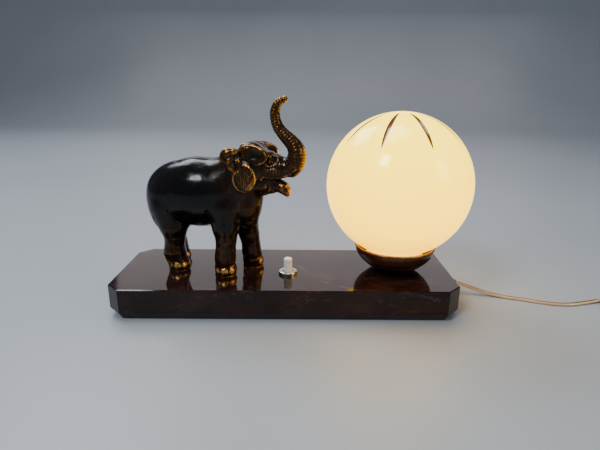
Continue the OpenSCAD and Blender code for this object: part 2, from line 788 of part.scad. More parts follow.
module live_wire() {
    end = switch_end(-1);
    color("saddlebrown") core_wire([
        live_split, live_split + [-4, -1, -2.5], live_split + [-12, -4, -5],
        [lamp_x, lamp_y - 10, 4.5], in_channel(0.84, -3.5, 4.5),
        in_channel(0.5, -3, 5), in_channel(0.23, -2, end.z - 2), end + [3.5, 0.6, -0.3], end
    ]);
}

module neutral_wire() {
    color("steelblue") core_wire(concat(
        [neutral_split, neutral_split + [-4, 0.4, -2], neutral_split + [-9, 0, -4.5],
            [lamp_x + 5, lamp_y + 4, 7], [lamp_x + 2.2, lamp_y + 1.2, 9.5]],
        up_tube(1)
    ));
}

module switched_wire() {
    end = switch_end(1);
    color("black") core_wire(concat(
        [end, end + [3.5, -0.4, -0.2], in_channel(0.23, 3, end.z - 1), in_channel(0.5, 3, 8),
            in_channel(0.84, 1.5, 7),
            [lamp_x - 5, lamp_y, 8.2], [lamp_x - 2, lamp_y, 10.5]],
        up_tube(-1)
    ));
}

// ---------------------------------------------------------------- mains lead

module from_end() {
    translate([base_l / 2, 0, 0]) children();
}

module mains_lead() {
    color("khaki") from_end() sweep(lead_route, flex_w, flex_t);
}

module lead_tail() {
    color("khaki") from_end() sweep(tail_route, flex_w, flex_t);
}

coil_w = coil_turns_across * coil_pitch;
coil_h = coil_rows * coil_row_pitch;

module lead_coil() {
    round = 1.2;
    color("khaki") from_end() translate([coil_at.x, coil_at.y, tie_t]) rotate_extrude($fn = 96)
        translate([coil_mean_r - coil_w / 2, 0]) polygon([
            [round, 0], [coil_w - round, 0], [coil_w, round], [coil_w, coil_h - round],
            [coil_w - round, coil_h], [round, coil_h], [0, coil_h - round], [0, round]
        ]);
}

module coil_tie() {
    slack = 0.1;
    color([0.1, 0.1, 0.1]) from_end() translate([coil_at.x, coil_at.y, 0]) rotate([0, 0, -135])
        translate([coil_mean_r, 0, tie_t + coil_h / 2]) rotate([90, 0, 0])
            linear_extrude(height = 4, center = true) difference() {
                square([coil_w + 2 * (tie_t + slack), coil_h + 2 * tie_t], center = true);
                square([coil_w + 4 * slack, coil_h], center = true);
            }
}

module plug_body() {
    rear_w = 20;
    shoulder_x = -plug_relief_l - plug_body_l + 22;
    front_x = -plug_relief_l - plug_body_l;
    color([0.1, 0.1, 0.1]) from_end() translate(plug_at) difference() {
        union() {
            translate([-plug_relief_l, 0, 0]) rotate([0, 90, 0])
                cylinder(r1 = 5.4, r2 = flex_w / 2 + 0.6, h = plug_relief_l);
            translate([0, 0, -plug_t / 2]) linear_extrude(height = plug_t) polygon([
                [-plug_relief_l, -rear_w / 2], [-plug_relief_l, rear_w / 2],
                [shoulder_x, plug_w / 2], [front_x, plug_w / 2 - 2],
                [front_x, -plug_w / 2 + 2], [shoulder_x, -plug_w / 2]
            ]);
        }
        at_pins() translate([0, 0, -6]) cylinder(d = plug_pin_d, h = 7);
    }
}

// Each pin's foot, with Z along the pin
module at_pins() {
    for (side = [-1, 1]) translate([-plug_relief_l - plug_body_l, side * plug_pin_pitch / 2, 0])
        rotate([0, -90, 0]) children();
}

module plug_pins() {
    color("silver") from_end() translate(plug_at) at_pins() {
        translate([0, 0, -6]) cylinder(d = plug_pin_d, h = plug_pin_l + 5);
        translate([0, 0, plug_pin_l - 1]) cylinder(d1 = plug_pin_d, d2 = plug_pin_d - 1.4, h = 1);
    }
}

// ---------------------------------------------------------------- the lamp

marble_base();
felt_underlay();
elephant_figure();
elephant_studs();
elephant_stud_washers();
elephant_stud_nuts();
gallery();
lamp_tube();
lamp_tube_washer();
lamp_tube_nut();
lampholder_cap();
lampholder_sleeve();
lampholder_insert();
screw_shell();
centre_contact();
lampholder_terminals();
bulb_glass();
bulb_screw_cap();
bulb_cap_insulator();
bulb_tip();
bulb_stem();
bulb_filament();
globe();
switch_barrel();
switch_ring_nut();
switch_button();
switch_bridge();
switch_spring();
switch_housing();
switch_contacts();
lead_bush();
lead_clamp();
lead_clamp_screws();
inner_flex();
live_wire();
neutral_wire();
switched_wire();
mains_lead();
lead_coil();
lead_tail();
coil_tie();
plug_body();
plug_pins();
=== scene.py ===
import json
import math

import bpy
import numpy as np
import openvdb
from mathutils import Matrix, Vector


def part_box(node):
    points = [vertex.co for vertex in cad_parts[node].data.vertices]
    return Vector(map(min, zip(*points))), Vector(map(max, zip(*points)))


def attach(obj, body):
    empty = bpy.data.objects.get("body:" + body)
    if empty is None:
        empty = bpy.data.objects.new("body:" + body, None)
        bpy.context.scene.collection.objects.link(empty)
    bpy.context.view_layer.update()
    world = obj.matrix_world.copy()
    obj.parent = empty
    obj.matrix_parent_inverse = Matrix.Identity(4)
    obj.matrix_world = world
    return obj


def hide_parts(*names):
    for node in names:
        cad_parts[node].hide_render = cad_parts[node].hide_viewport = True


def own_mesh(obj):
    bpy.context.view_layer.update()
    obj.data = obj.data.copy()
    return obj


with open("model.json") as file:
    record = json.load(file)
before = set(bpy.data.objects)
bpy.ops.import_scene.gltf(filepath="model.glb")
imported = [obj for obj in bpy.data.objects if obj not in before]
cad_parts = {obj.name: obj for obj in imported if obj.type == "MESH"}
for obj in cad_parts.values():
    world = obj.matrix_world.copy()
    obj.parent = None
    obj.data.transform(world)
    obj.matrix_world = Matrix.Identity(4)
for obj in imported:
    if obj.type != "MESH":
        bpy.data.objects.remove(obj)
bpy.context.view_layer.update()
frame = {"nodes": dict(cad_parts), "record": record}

# A table lamp: a lacquered elephant, a push switch and a lit ball globe in a turned gallery on a marble slab.
# Lengths below are in metres. The elephant alone is worked out in millimetres in its own frame.
MM = 0.001


def middle(node):
    low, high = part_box(node)
    return (low + high) / 2


LAMP = middle("lamp_tube")
SWITCH = middle("switch_barrel")
TOP_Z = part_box("marble_base")[1].z
END_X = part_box("marble_base")[1].x
GLOBE_R = (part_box("globe")[1].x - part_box("globe")[0].x) / 2
GLOBE_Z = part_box("globe")[1].z - GLOBE_R


# ---------------------------------------------------------------- camera

CAMERA_AT = Vector((0.014243, -0.443041, 0.208042))
YAW, PITCH, ROLL = 0.00093353, 0.287677, -0.00678577


def add_camera():
    data = bpy.data.cameras.new("camera")
    data.sensor_width = 36
    data.lens = 27.807
    data.clip_start = 0.01
    camera = bpy.data.objects.new("camera", data)
    bpy.context.scene.collection.objects.link(camera)
    ahead = Vector((math.sin(YAW) * math.cos(PITCH), math.cos(YAW) * math.cos(PITCH), -math.sin(PITCH)))
    level = Vector((math.cos(YAW), -math.sin(YAW), 0))
    below = ahead.cross(level)
    right = math.cos(ROLL) * level + math.sin(ROLL) * below
    down = -math.sin(ROLL) * level + math.cos(ROLL) * below
    matrix = camera.matrix_world.copy()
    for column, axis in enumerate((right, -down, -ahead, CAMERA_AT)):
        for row in range(3):
            matrix[row][column] = axis[row]
    camera.matrix_world = matrix
    bpy.context.scene.camera = camera


# ---------------------------------------------------------------- node materials

def new_material(name):
    material = bpy.data.materials.new(name)
    material.use_nodes = True
    tree = material.node_tree
    return material, tree, tree.nodes["Principled BSDF"]


def node(tree, kind, inputs=None, **settings):
    made = tree.nodes.new(kind)
    for key, value in settings.items():
        setattr(made, key, value)
    for key, value in (inputs or {}).items():
        if isinstance(value, bpy.types.NodeSocket):
            tree.links.new(value, made.inputs[key])
        else:
            made.inputs[key].default_value = value
    return made


def set_shader(tree, shader, **inputs):
    for key, value in inputs.items():
        socket = shader.inputs[key.replace("_", " ")]
        if isinstance(value, bpy.types.NodeSocket):
            tree.links.new(value, socket)
        else:
            socket.default_value = value


def place(tree, scale=(1, 1, 1)):
    """Object coordinates in metres, stretched by scale."""
    coordinates = node(tree, "ShaderNodeTexCoord").outputs["Object"]
    return node(tree, "ShaderNodeMapping", {"Vector": coordinates, "Scale": scale}).outputs[0]


def noise(tree, size, detail=4, rough=0.55, distortion=0.0, scale=(1, 1, 1)):
    """Noise with features about size metres across."""
    inputs = {"Vector": place(tree, scale), "Scale": 1 / size, "Detail": detail,
              "Roughness": rough, "Distortion": distortion}
    return node(tree, "ShaderNodeTexNoise", inputs).outputs["Fac"]


def ramp(tree, value, *stops):
    """Colours or greys at places from 0 to 1."""
    made = node(tree, "ShaderNodeValToRGB", {"Fac": value})
    elements = made.color_ramp.elements
    while len(elements) < len(stops):
        elements.new(0.5)
    for element, (position, colour) in zip(elements, stops):
        element.position = position
        if isinstance(colour, (int, float)):
            colour = (colour, colour, colour)
        element.color = (*colour, 1)
    return made.outputs["Color"]


def mix(tree, factor, a, b):
    made = node(tree, "ShaderNodeMix", data_type="RGBA")
    for index, value in ((0, factor), (6, a), (7, b)):
        if isinstance(value, bpy.types.NodeSocket):
            tree.links.new(value, made.inputs[index])
        else:
            made.inputs[index].default_value = (*value, 1) if isinstance(value, tuple) else value
    return made.outputs[2]


def maths(tree, operation, a, b=0.0, clamp=False):
    return node(tree, "ShaderNodeMath", {0: a, 1: b}, operation=operation, use_clamp=clamp).outputs[0]


def bump(tree, height, depth, strength=1.0):
    return node(tree, "ShaderNodeBump",
                {"Height": height, "Distance": depth, "Strength": strength}).outputs[0]


def attribute(tree, name):
    return node(tree, "ShaderNodeAttribute", attribute_name=name).outputs["Fac"]


def worn_metal(name, colour, dark, rough, grain=0.004, depth=0.00004, brushed=(1, 1, 1)):
    """Metal with uneven tarnish, a fine grain and small scratches."""
    material, tree, shader = new_material(name)
    tarnish = noise(tree, grain * 3, 6, 0.65)
    fine = noise(tree, grain / 6, 3, 0.6, scale=brushed)
    set_shader(tree, shader, Metallic=1.0,
               Base_Color=ramp(tree, tarnish, (0.3, dark), (0.62, colour)),
               Roughness=ramp(tree, fine, (0.25, rough * 0.7), (0.8, min(1.0, rough * 1.5))),
               Normal=bump(tree, fine, depth))
    return material


def moulded(name, colour, rough, speck=0.0004, depth=0.00003, coat=0.0, tint=0.85):
    """Moulded plastic, rubber or glazed ware: faint mottling and a fine skin."""
    material, tree, shader = new_material(name)
    cloud = noise(tree, 0.006, 4)
    shade = tuple(c * tint for c in colour)
    skin = noise(tree, speck, 2)
    set_shader(tree, shader, Base_Color=ramp(tree, cloud, (0.3, shade), (0.7, colour)),
               Roughness=ramp(tree, skin, (0.2, rough * 0.85), (0.8, min(1.0, rough * 1.2))),
               Normal=bump(tree, skin, depth), Coat_Weight=coat, Coat_Roughness=0.08)
    return material


def marble():
    """Very dark red-brown polished stone: cloudy ground, thin pale veins and a few rusty ones."""
    material, tree, shader = new_material("dark_marble")
    cloud = noise(tree, 0.05, 8, 0.62, 0.8, (1, 1, 2))
    ground = ramp(tree, cloud, (0.3, (0.006, 0.003, 0.003)), (0.5, (0.015, 0.006, 0.0055)),
                  (0.72, (0.032, 0.013, 0.01)))
    bent = noise(tree, 0.07, 7, 0.6, 2.2, (0.7, 1.2, 2.6))
    vein = ramp(tree, bent, (0.488, 0), (0.497, 1), (0.504, 1), (0.514, 0))
    patches = ramp(tree, noise(tree, 0.045, 3), (0.45, 0), (0.62, 1))
    white = maths(tree, "MULTIPLY", vein, patches)
    fine = noise(tree, 0.022, 6, 0.6, 3.0, (1, 1, 1.8))
    rust = ramp(tree, fine, (0.55, 0), (0.562, 0.8), (0.575, 0))
    colour = mix(tree, maths(tree, "MULTIPLY", rust, 0.22), ground, (0.1, 0.035, 0.018))
    colour = mix(tree, maths(tree, "MULTIPLY", white, 0.14), colour, (0.3, 0.22, 0.18))
    pits = noise(tree, 0.0012, 3)
    set_shader(tree, shader, Base_Color=colour, Specular_IOR_Level=0.27,
               Roughness=ramp(tree, noise(tree, 0.03, 5), (0.3, 0.04), (0.75, 0.1)),
               Normal=bump(tree, pits, 0.00001))
    return material


def felt():
    """Matted wool: fibres in two directions over a clumped ground."""
    material, tree, shader = new_material("green_felt")
    fibre_a = noise(tree, 0.0009, 5, 0.7, 2.5, (1, 5, 1))
    fibre_b = noise(tree, 0.0009, 5, 0.7, 2.5, (5, 1, 1))
    fibres = maths(tree, "MAXIMUM", fibre_a, fibre_b)
    clump = noise(tree, 0.006, 3)
    colour = mix(tree, ramp(tree, fibres, (0.5, 0), (0.75, 0.7)), (0.012, 0.035, 0.02), (0.05, 0.11, 0.065))
    colour = mix(tree, ramp(tree, clump, (0.35, 0), (0.7, 0.5)), colour, (0.02, 0.05, 0.03))
    set_shader(tree, shader, Base_Color=colour, Roughness=0.95, Sheen_Weight=0.4, Sheen_Roughness=0.5,
               Normal=bump(tree, fibres, 0.0003))
    return material


def figure_bronze():
    """Gilt metal under dark lacquer: "gilt" is how far it is rubbed off, "hollow" how deep a fold."""
    material, tree, shader = new_material("lacquered_figure")
    patches = maths(tree, "SUBTRACT", noise(tree, 0.008, 6, 0.65, 0.6), 0.5)
    rubbed = maths(tree, "ADD", attribute(tree, "gilt"), maths(tree, "MULTIPLY", patches, 0.55))
    streaks = noise(tree, 0.005, 5, 0.62, 0.5, (1.8, 1.8, 0.35))
    rubbed = maths(tree, "ADD", rubbed, maths(tree, "MULTIPLY", maths(tree, "SUBTRACT", streaks, 0.5), 0.75))
    rubbed = maths(tree, "SUBTRACT", rubbed, maths(tree, "MULTIPLY", attribute(tree, "hollow"), 0.6))
    rubbed = maths(tree, "MAXIMUM", rubbed, 0.0)
    colour = ramp(tree, rubbed, (0.0, (0.0016, 0.0015, 0.0018)), (0.22, (0.011, 0.0052, 0.0022)),
                  (0.46, (0.06, 0.023, 0.006)), (0.72, (0.27, 0.115, 0.024)), (0.95, (0.85, 0.48, 0.12)))
    grain = noise(tree, 0.0011, 4, 0.6)
    skin = noise(tree, 0.0042, 5, 0.6, 0.4)
    height = maths(tree, "MULTIPLY", rubbed, maths(tree, "ADD", skin, maths(tree, "MULTIPLY", grain, 0.3)))
    set_shader(tree, shader, Base_Color=colour, Metallic=ramp(tree, rubbed, (0.12, 0), (0.55, 1)),
               Roughness=ramp(tree, grain, (0.3, 0.11), (0.75, 0.24)), Specular_IOR_Level=0.16,
               Coat_Weight=0.2, Coat_Roughness=0.04, Normal=bump(tree, height, 0.0006))
    return material


def bronzed_brass():
    """Dark red-brown bronzed turning with lathe lines and rubbed edges."""
    material, tree, shader = new_material("bronzed_turning")
    lines = noise(tree, 0.003, 3, 0.6, 0, (0.15, 0.15, 6))
    uneven = ramp(tree, noise(tree, 0.006, 5), (0.3, 0.3), (0.6, 1))
    wear = maths(tree, "MULTIPLY", attribute(tree, "edge"), uneven)
    ground = ramp(tree, noise(tree, 0.012, 6), (0.3, (0.045, 0.014, 0.008)), (0.7, (0.105, 0.036, 0.018)))
    set_shader(tree, shader, Base_Color=mix(tree, wear, ground, (0.42, 0.2, 0.08)), Metallic=0.75,
               Roughness=ramp(tree, lines, (0.3, 0.26), (0.7, 0.4)),
               Coat_Weight=0.25, Coat_Roughness=0.2, Normal=bump(tree, lines, 0.00004))
    return material


def opal_glass():
    """Lit cased glass: warm body light, yellower at the crown, with soft clouds and dark ground cuts."""
    material, tree, shader = new_material("lit_opal_glass")
    height = node(tree, "ShaderNodeSeparateXYZ", {"Vector": place(tree)}).outputs["Z"]
    bottom = GLOBE_Z - GLOBE_R
    level = maths(tree, "DIVIDE", maths(tree, "SUBTRACT", height, bottom), 2 * GLOBE_R)
    level = maths(tree, "ADD", level, maths(tree, "MULTIPLY", noise(tree, 0.05, 3), 0.06))
    glow = ramp(tree, level, (0.0, (0.34, 0.1, 0.0)), (0.12, (0.8, 0.4, 0.0)), (0.3, (1.0, 0.56, 0.0)),
                (0.6, (1.0, 0.63, 0.0)), (1.0, (1.0, 0.74, 0.02)))
    edge = node(tree, "ShaderNodeLayerWeight", {"Blend": 0.28}).outputs["Facing"]
    glow = mix(tree, maths(tree, "MULTIPLY", edge, 0.35), glow, (0.72, 0.34, 0.0))
    cut = attribute(tree, "cut")
    glow = mix(tree, ramp(tree, cut, (0.25, 0), (0.55, 1)), glow, (0.03, 0.009, 0.001))
    set_shader(tree, shader, Base_Color=mix(tree, cut, (0.14, 0.09, 0.02), (0.04, 0.022, 0.008)),
               Emission_Color=glow, Emission_Strength=4.6, Coat_Weight=0.22, Coat_Roughness=0.04,
               Roughness=ramp(tree, noise(tree, 0.02, 4), (0.3, 0.1), (0.7, 0.18)),
               Normal=bump(tree, noise(tree, 0.018, 2), 0.0002))
    return material


def frosted_glass():
    """Lit bulb glass, white hot round the filament."""
    material, tree, shader = new_material("lit_frosted_bulb")
    spot = noise(tree, 0.02, 3)
    set_shader(tree, shader, Base_Color=(0.9, 0.86, 0.78, 1),
               Emission_Color=ramp(tree, spot, (0.3, (1.0, 0.78, 0.5)), (0.7, (1.0, 0.88, 0.68))),
               Emission_Strength=2.2, Roughness=0.45, Normal=bump(tree, noise(tree, 0.0006, 2), 0.00002))
    return material


def clear_flex():
    """Clear sheath over two stranded copper cores; "across" is 1 over a core and 0 on the web between. The
    web and each core's inner side are painted dark, a painted shade for the groove between the cores.
    """
    material, tree, shader = new_material("clear_sheathed_copper")
    along = attribute(tree, "along")
    across = attribute(tree, "across")
    strands = maths(tree, "SINE", maths(tree, "MULTIPLY", along, 2 * math.pi / 0.0016))
    strands = maths(tree, "MULTIPLY", maths(tree, "ADD", strands, 1), 0.5)
    copper = mix(tree, strands, (0.5, 0.25, 0.11), (0.95, 0.66, 0.4))
    copper = mix(tree, ramp(tree, noise(tree, 0.01, 4), (0.35, 0), (0.7, 0.5)), copper, (0.9, 0.72, 0.44))
    # painted shade: dark brown on the web and on each core's side towards the groove between the cores
    colour = mix(tree, ramp(tree, across, (0.35, 0), (0.75, 1)), (0.07, 0.028, 0.012), copper)
    set_shader(tree, shader, Base_Color=colour, Metallic=0.35, Roughness=0.28, Coat_Weight=1.0,
               Coat_Roughness=0.09, Normal=bump(tree, strands, 0.00004))
    return material


def floor_material():
    material, tree, shader = new_material("pale_floor")
    cloud = noise(tree, 0.5, 3)
    grey = ramp(tree, cloud, (0.3, (0.36, 0.385, 0.42)), (0.7, (0.39, 0.415, 0.45)))
    set_shader(tree, shader, Base_Color=grey, Roughness=0.42)
    return material


# One material for each of the record's slots
MATERIALS = {
    "marble": marble(),
    "felt": felt(),
    "figure_bronze": figure_bronze(),
    "bronzed_brass": bronzed_brass(),
    "brass": worn_metal("worn_brass", (0.78, 0.56, 0.24), (0.42, 0.26, 0.09), 0.28),
    "steel": worn_metal("zinc_steel", (0.62, 0.63, 0.64), (0.36, 0.35, 0.34), 0.36),
    "porcelain": moulded("glazed_porcelain", (0.86, 0.84, 0.78), 0.2, 0.001, 0.00001, 0.8, 0.93),
    "frosted_glass": frosted_glass(),
    "bulb_cap_metal": worn_metal("bulb_cap_alloy", (0.8, 0.8, 0.78), (0.55, 0.54, 0.5), 0.25),
    "black_glass": moulded("black_glass", (0.012, 0.012, 0.014), 0.12, 0.001, 0.00001, 0.6),
    "tungsten": worn_metal("tungsten", (0.4, 0.38, 0.36), (0.22, 0.2, 0.19), 0.4, 0.0008),
    "opal_glass": opal_glass(),
    "ring_metal": worn_metal("satin_nickel", (0.78, 0.73, 0.62), (0.5, 0.44, 0.34), 0.24, 0.003),
    "button_plastic": moulded("ivory_plastic", (0.88, 0.87, 0.83), 0.3, 0.0005, 0.00001, 0.3, 0.95),
    "bakelite": moulded("brown_bakelite", (0.035, 0.016, 0.009), 0.25, 0.0008, 0.00002, 0.3, 0.5),
    "rubber": moulded("dark_rubber", (0.03, 0.027, 0.024), 0.6, 0.0005, 0.00004),
    "clear_flex": clear_flex(),
    "brown_wire": moulded("brown_wire", (0.16, 0.06, 0.025), 0.4),
    "blue_wire": moulded("blue_wire", (0.03, 0.09, 0.26), 0.4),
    "black_wire": moulded("black_wire", (0.012, 0.012, 0.012), 0.4),
    "plug_plastic": moulded("plug_plastic", (0.035, 0.033, 0.03), 0.42, 0.0006, 0.00004),
    "plug_metal": worn_metal("nickel_pin", (0.76, 0.75, 0.72), (0.5, 0.48, 0.44), 0.22, 0.003),
}


# ---------------------------------------------------------------- mesh helpers

def add_piece(name, points, faces, slot, body="base", replaces=(), values=None, sharp=None):
    """A mesh from points in metres, with any per-point values as attributes."""
    mesh = bpy.data.meshes.new(name)
    mesh.from_pydata(np.asarray(points, float).tolist(), [], [tuple(f) for f in faces])
    for key, numbers in (values or {}).items():
        mesh.attributes.new(key, "FLOAT", "POINT").data.foreach_set("value", np.asarray(numbers, np.float32))
    mesh.materials.append(MATERIALS[slot])
    mesh.shade_smooth()
    if sharp:
        mesh.set_sharp_from_angle(angle=math.radians(sharp))
    piece = bpy.data.objects.new(name, mesh)
    bpy.context.scene.collection.objects.link(piece)
    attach(piece, body)
    if replaces:
        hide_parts(*replaces)
    return piece


def grid_faces(rows, columns, wrap_rows=False, wrap_columns=True):
    """Quads of a grid of points, row by row."""
    faces = []
    for i in range(rows if wrap_rows else rows - 1):
        for j in range(columns if wrap_columns else columns - 1):
            a, b = i * columns, (i + 1) % rows * columns
            k = (j + 1) % columns
            faces.append((a + j, a + k, b + k, b + j))
    return faces


def catmull(points, steps):
    """A smooth line through points, steps to each span."""
    p = np.asarray(points, float)
    p = np.vstack([2 * p[0] - p[1], p, 2 * p[-1] - p[-2]])
    t = np.linspace(0, 1, steps, endpoint=False)[:, None]
    out = []
    for a, b, c, d in zip(p, p[1:], p[2:], p[3:]):
        square, cube = 2 * a - 5 * b + 4 * c - d, 3 * b - a - 3 * c + d
        out.append(0.5 * (2 * b + (c - a) * t + square * t**2 + cube * t**3))
    return np.vstack(out + [p[-2:-1]])


def lathe(name, profile, slot, body, at, segments=128, **more):
    """A ring turned from a closed profile of (radius, height) points round a vertical axis at (x, y)."""
    profile = np.asarray(profile, float)
    angles = np.linspace(0, 2 * math.pi, segments, endpoint=False)
    points = [(at[0] + r * math.cos(a), at[1] + r * math.sin(a), z) for r, z in profile for a in angles]
    values = more.pop("values", None)
    if values:
        values = {key: np.repeat(numbers, segments) for key, numbers in values.items()}
    return add_piece(name, points, grid_faces(len(profile), segments, wrap_rows=True), slot, body,
                     values=values, **more)


# ---------------------------------------------------------------- mains lead

# Twin flex, 5.4 by 2.7 mm, and the stretches of its route that aren't coiled, as metres from the slab's end
FLEX_T = 0.0027
LEAD_ROUTE = [
    (0.014, 0.010, 0.012), (0.020, 0.0094, 0.0106), (0.028, 0.008, 0.008), (0.038, 0.0054, 0.0052),
    (0.047, 0.0028, 0.0032), (0.056, 0, 0.002), (0.067, -0.004, 0.0014), (0.078, -0.0076, 0.0014),
    (0.092, -0.0136, 0.0014), (0.106, -0.018, 0.0014), (0.117, -0.019, 0.0014), (0.126, -0.0178, 0.0014),
    (0.135, -0.0154, 0.0014), (0.146, -0.0126, 0.0014), (0.157, -0.010, 0.0014), (0.168, -0.0078, 0.0018),
    (0.180, -0.0062, 0.0026), (0.191, -0.0057, 0.0032),
]
COIL_AT = (0.191, -0.0395)
COIL_OUTER_R = 0.0338
COIL_INNER_R = 0.02515
COIL_LOW_Z = 0.00325
COIL_HIGH_Z = 0.0087
COIL_TURNS = 8.25
TAIL_ROUTE = [
    (0.2248, -0.0395, 0.0087), (0.225, -0.046, 0.0074), (0.225, -0.053, 0.0058), (0.225, -0.060, 0.0044),
    (0.225, -0.066, 0.0034), (0.2233, -0.0744, 0.003), (0.2186, -0.0816, 0.0034), (0.2114, -0.0863, 0.0046),
    (0.203, -0.088, 0.0062), (0.196, -0.088, 0.0068),
]


def coil_point(turn):
    """Clockwise from the far side: in below, two turns at the inside as it climbs, and out again above."""
    if turn < 3:
        r = COIL_OUTER_R + (COIL_INNER_R - COIL_OUTER_R) * turn / 3
    elif turn < 5:
        r = COIL_INNER_R
    else:
        r = COIL_INNER_R + (COIL_OUTER_R - COIL_INNER_R) * (turn - 5) / (COIL_TURNS - 5)
    climb = min(max((turn - 3.8) / 0.4, 0), 1)
    z = COIL_LOW_Z + (COIL_HIGH_Z - COIL_LOW_Z) * climb * climb * (3 - 2 * climb)
    angle = math.pi / 2 - 2 * math.pi * turn
    return COIL_AT[0] + r * math.cos(angle), COIL_AT[1] + r * math.sin(angle), z


def flex_outline():
    """Section of the flex, two round cores and the web between, and how far each point is from the web."""
    r = FLEX_T / 2
    points, across = [], []
    for side in (1, -1):
        for a in np.linspace(-148, 148, 10):
            angle = math.radians(a)
            points.append((side * r * (1 + math.cos(angle)), side * r * math.sin(angle)))
            across.append(min(1.0, abs(points[-1][0]) / r))
    return np.array(points), np.array(across)


def even_line(points, step):
    """The same line with points step apart."""
    lengths = np.concatenate([[0], np.cumsum(np.linalg.norm(np.diff(points, axis=0), axis=1))])
    at = np.linspace(0, lengths[-1], int(lengths[-1] / step) + 1)
    return np.stack([np.interp(at, lengths, points[:, i]) for i in range(3)], axis=1), at


def sweep_flex(name, route, roll, slot, **more):
    """The flex along a route; roll is its turn about its own line at each point, 0 lying flat."""
    ahead = np.gradient(route, axis=0)
    ahead /= np.linalg.norm(ahead, axis=1)[:, None]
    flat = np.stack([ahead[:, 1], -ahead[:, 0], 0 * ahead[:, 0]], axis=1)
    flat /= np.linalg.norm(flat, axis=1)[:, None]
    above = np.cross(flat, ahead)
    outline, across = flex_outline()
    c, s = np.cos(roll)[:, None], np.sin(roll)[:, None]
    wide = flat * c + above * s
    thick = -flat * s + above * c
    points = route[:, None] + outline[None, :, :1] * wide[:, None] + outline[None, :, 1:] * thick[:, None]
    n = len(outline)
    faces = grid_faces(len(route), n)
    faces += [tuple(range(n))[::-1], tuple(range((len(route) - 1) * n, len(route) * n))]
    lengths = np.concatenate([[0], np.cumsum(np.linalg.norm(np.diff(route, axis=0), axis=1))])
    values = {"across": np.tile(across, len(route)), "along": np.repeat(lengths, n)}
    return add_piece(name, points.reshape(-1, 3), faces, slot, values=values, **more)


def smoothstep(x, a, b):
    t = np.clip((np.asarray(x, float) - a) / (b - a), 0, 1)
    return t * t * (3 - 2 * t)


def add_lead():
    lead = catmull(LEAD_ROUTE, 8)
    coil = np.array([coil_point(t) for t in np.linspace(0, COIL_TURNS, int(COIL_TURNS * 96))])
    tail = catmull(TAIL_ROUTE, 8)
    whole, along = even_line(np.vstack([lead, coil[1:], tail[1:]]) + (END_X, 0, 0), 0.0018)
    lead_length = np.linalg.norm(np.diff(lead, axis=0), axis=1).sum()
    tail_length = np.linalg.norm(np.diff(tail, axis=0), axis=1).sum()
    on_edge = smoothstep(along, lead_length - 0.05, lead_length - 0.004)
    on_edge -= smoothstep(along, along[-1] - tail_length + 0.004, along[-1] - 0.03)
    standing = FLEX_T / 2 * (1 + np.abs(np.sin(on_edge * math.pi / 2))) + 0.00005
    whole[:, 2] = np.maximum(whole[:, 2], standing)
    flex = sweep_flex("mains_flex", whole, on_edge * math.pi / 2, "clear_flex",
                      replaces=("mains_lead", "lead_coil", "lead_tail"))
    return flex, whole


# The plug lies behind the coil, pointing back towards the lamp
PLUG_AT = np.array(TAIL_ROUTE[-1])
RELIEF_L = 0.014
PLUG_L = 0.035


def rounded_ring(half_w, half_h, corner, n=10):
    """Outline of a rounded rectangle, across and up."""
    corner = min(corner, half_w - 1e-5, half_h - 1e-5)
    points = []
    for k, (x, y) in enumerate(((1, 1), (-1, 1), (-1, -1), (1, -1))):
        for a in np.linspace(k * 90, k * 90 + 90, n):
            angle = math.radians(a)
            points.append((x * (half_w - corner) + corner * math.cos(angle),
                           y * (half_h - corner) + corner * math.sin(angle)))
    return points


def loft_x(name, rings, at, slot, **more):
    """A body along -X from at; each ring is (distance, half width, half height, corner)."""
    points = []
    for d, half_w, half_h, corner in rings:
        points += [(at[0] - d, at[1] + y, at[2] + z) for y, z in rounded_ring(half_w, half_h, corner)]
    n = len(points) // len(rings)
    faces = grid_faces(len(rings), n)
    faces += [tuple(range(n))[::-1], tuple(range(len(points) - n, len(points)))]
    return add_piece(name, points, [f[::-1] for f in faces], slot, sharp=32, **more)


def add_plug():
    at = PLUG_AT + (END_X, 0, 0)
    low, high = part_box("plug_body")
    half_w = (high.y - low.y) / 2
    half_h = (high.z - low.z) / 2
    rings = [(0, 0.0034, 0.002, 0.002), (0.0006, 0.0038, 0.0024, 0.0022)]
    for i in range(5):
        d = 0.0018 + i * 0.0024
        swell = 0.0004 * i
        rings += [(d, 0.0038 + swell, 0.0026 + swell * 0.8, 0.0024),
                  (d + 0.0011, 0.0041 + swell, 0.0029 + swell, 0.0026),
                  (d + 0.0013, 0.0034 + swell, 0.0022 + swell, 0.002),
                  (d + 0.0022, 0.0034 + swell, 0.0022 + swell, 0.002)]
    body = [(0.0, 0.34, 0.5, 0.004), (0.08, 0.5, 0.68, 0.005),
            (0.2, 0.7, 0.84, 0.0055), (0.34, 0.8, 0.9, 0.0055)]
    rings += [(RELIEF_L + d * PLUG_L, half_w * w, half_h * h, c) for d, w, h, c in body]
    for i in range(4):
        d = RELIEF_L + PLUG_L * (0.4 + 0.09 * i)
        w = half_w * (0.84 + 0.03 * i)
        h = half_h * 0.93
        groove = 0.0007
        rings += [(d, w, h, 0.005), (d + 0.0004, w - groove, h - groove, 0.005),
                  (d + 0.0016, w - groove, h - groove, 0.005), (d + 0.002, w + 0.0002, h, 0.005)]
    end = RELIEF_L + PLUG_L
    rings += [(end - 0.006, half_w - 0.0003, half_h - 0.0002, 0.0055),
              (end - 0.0015, half_w - 0.0001, half_h, 0.0055),
              (end - 0.0004, half_w - 0.0006, half_h - 0.0004, 0.005),
              (end, half_w - 0.0015, half_h - 0.0012, 0.0045)]
    return loft_x("plug_moulding", rings, at, "plug_plastic", replaces=("plug_body",))


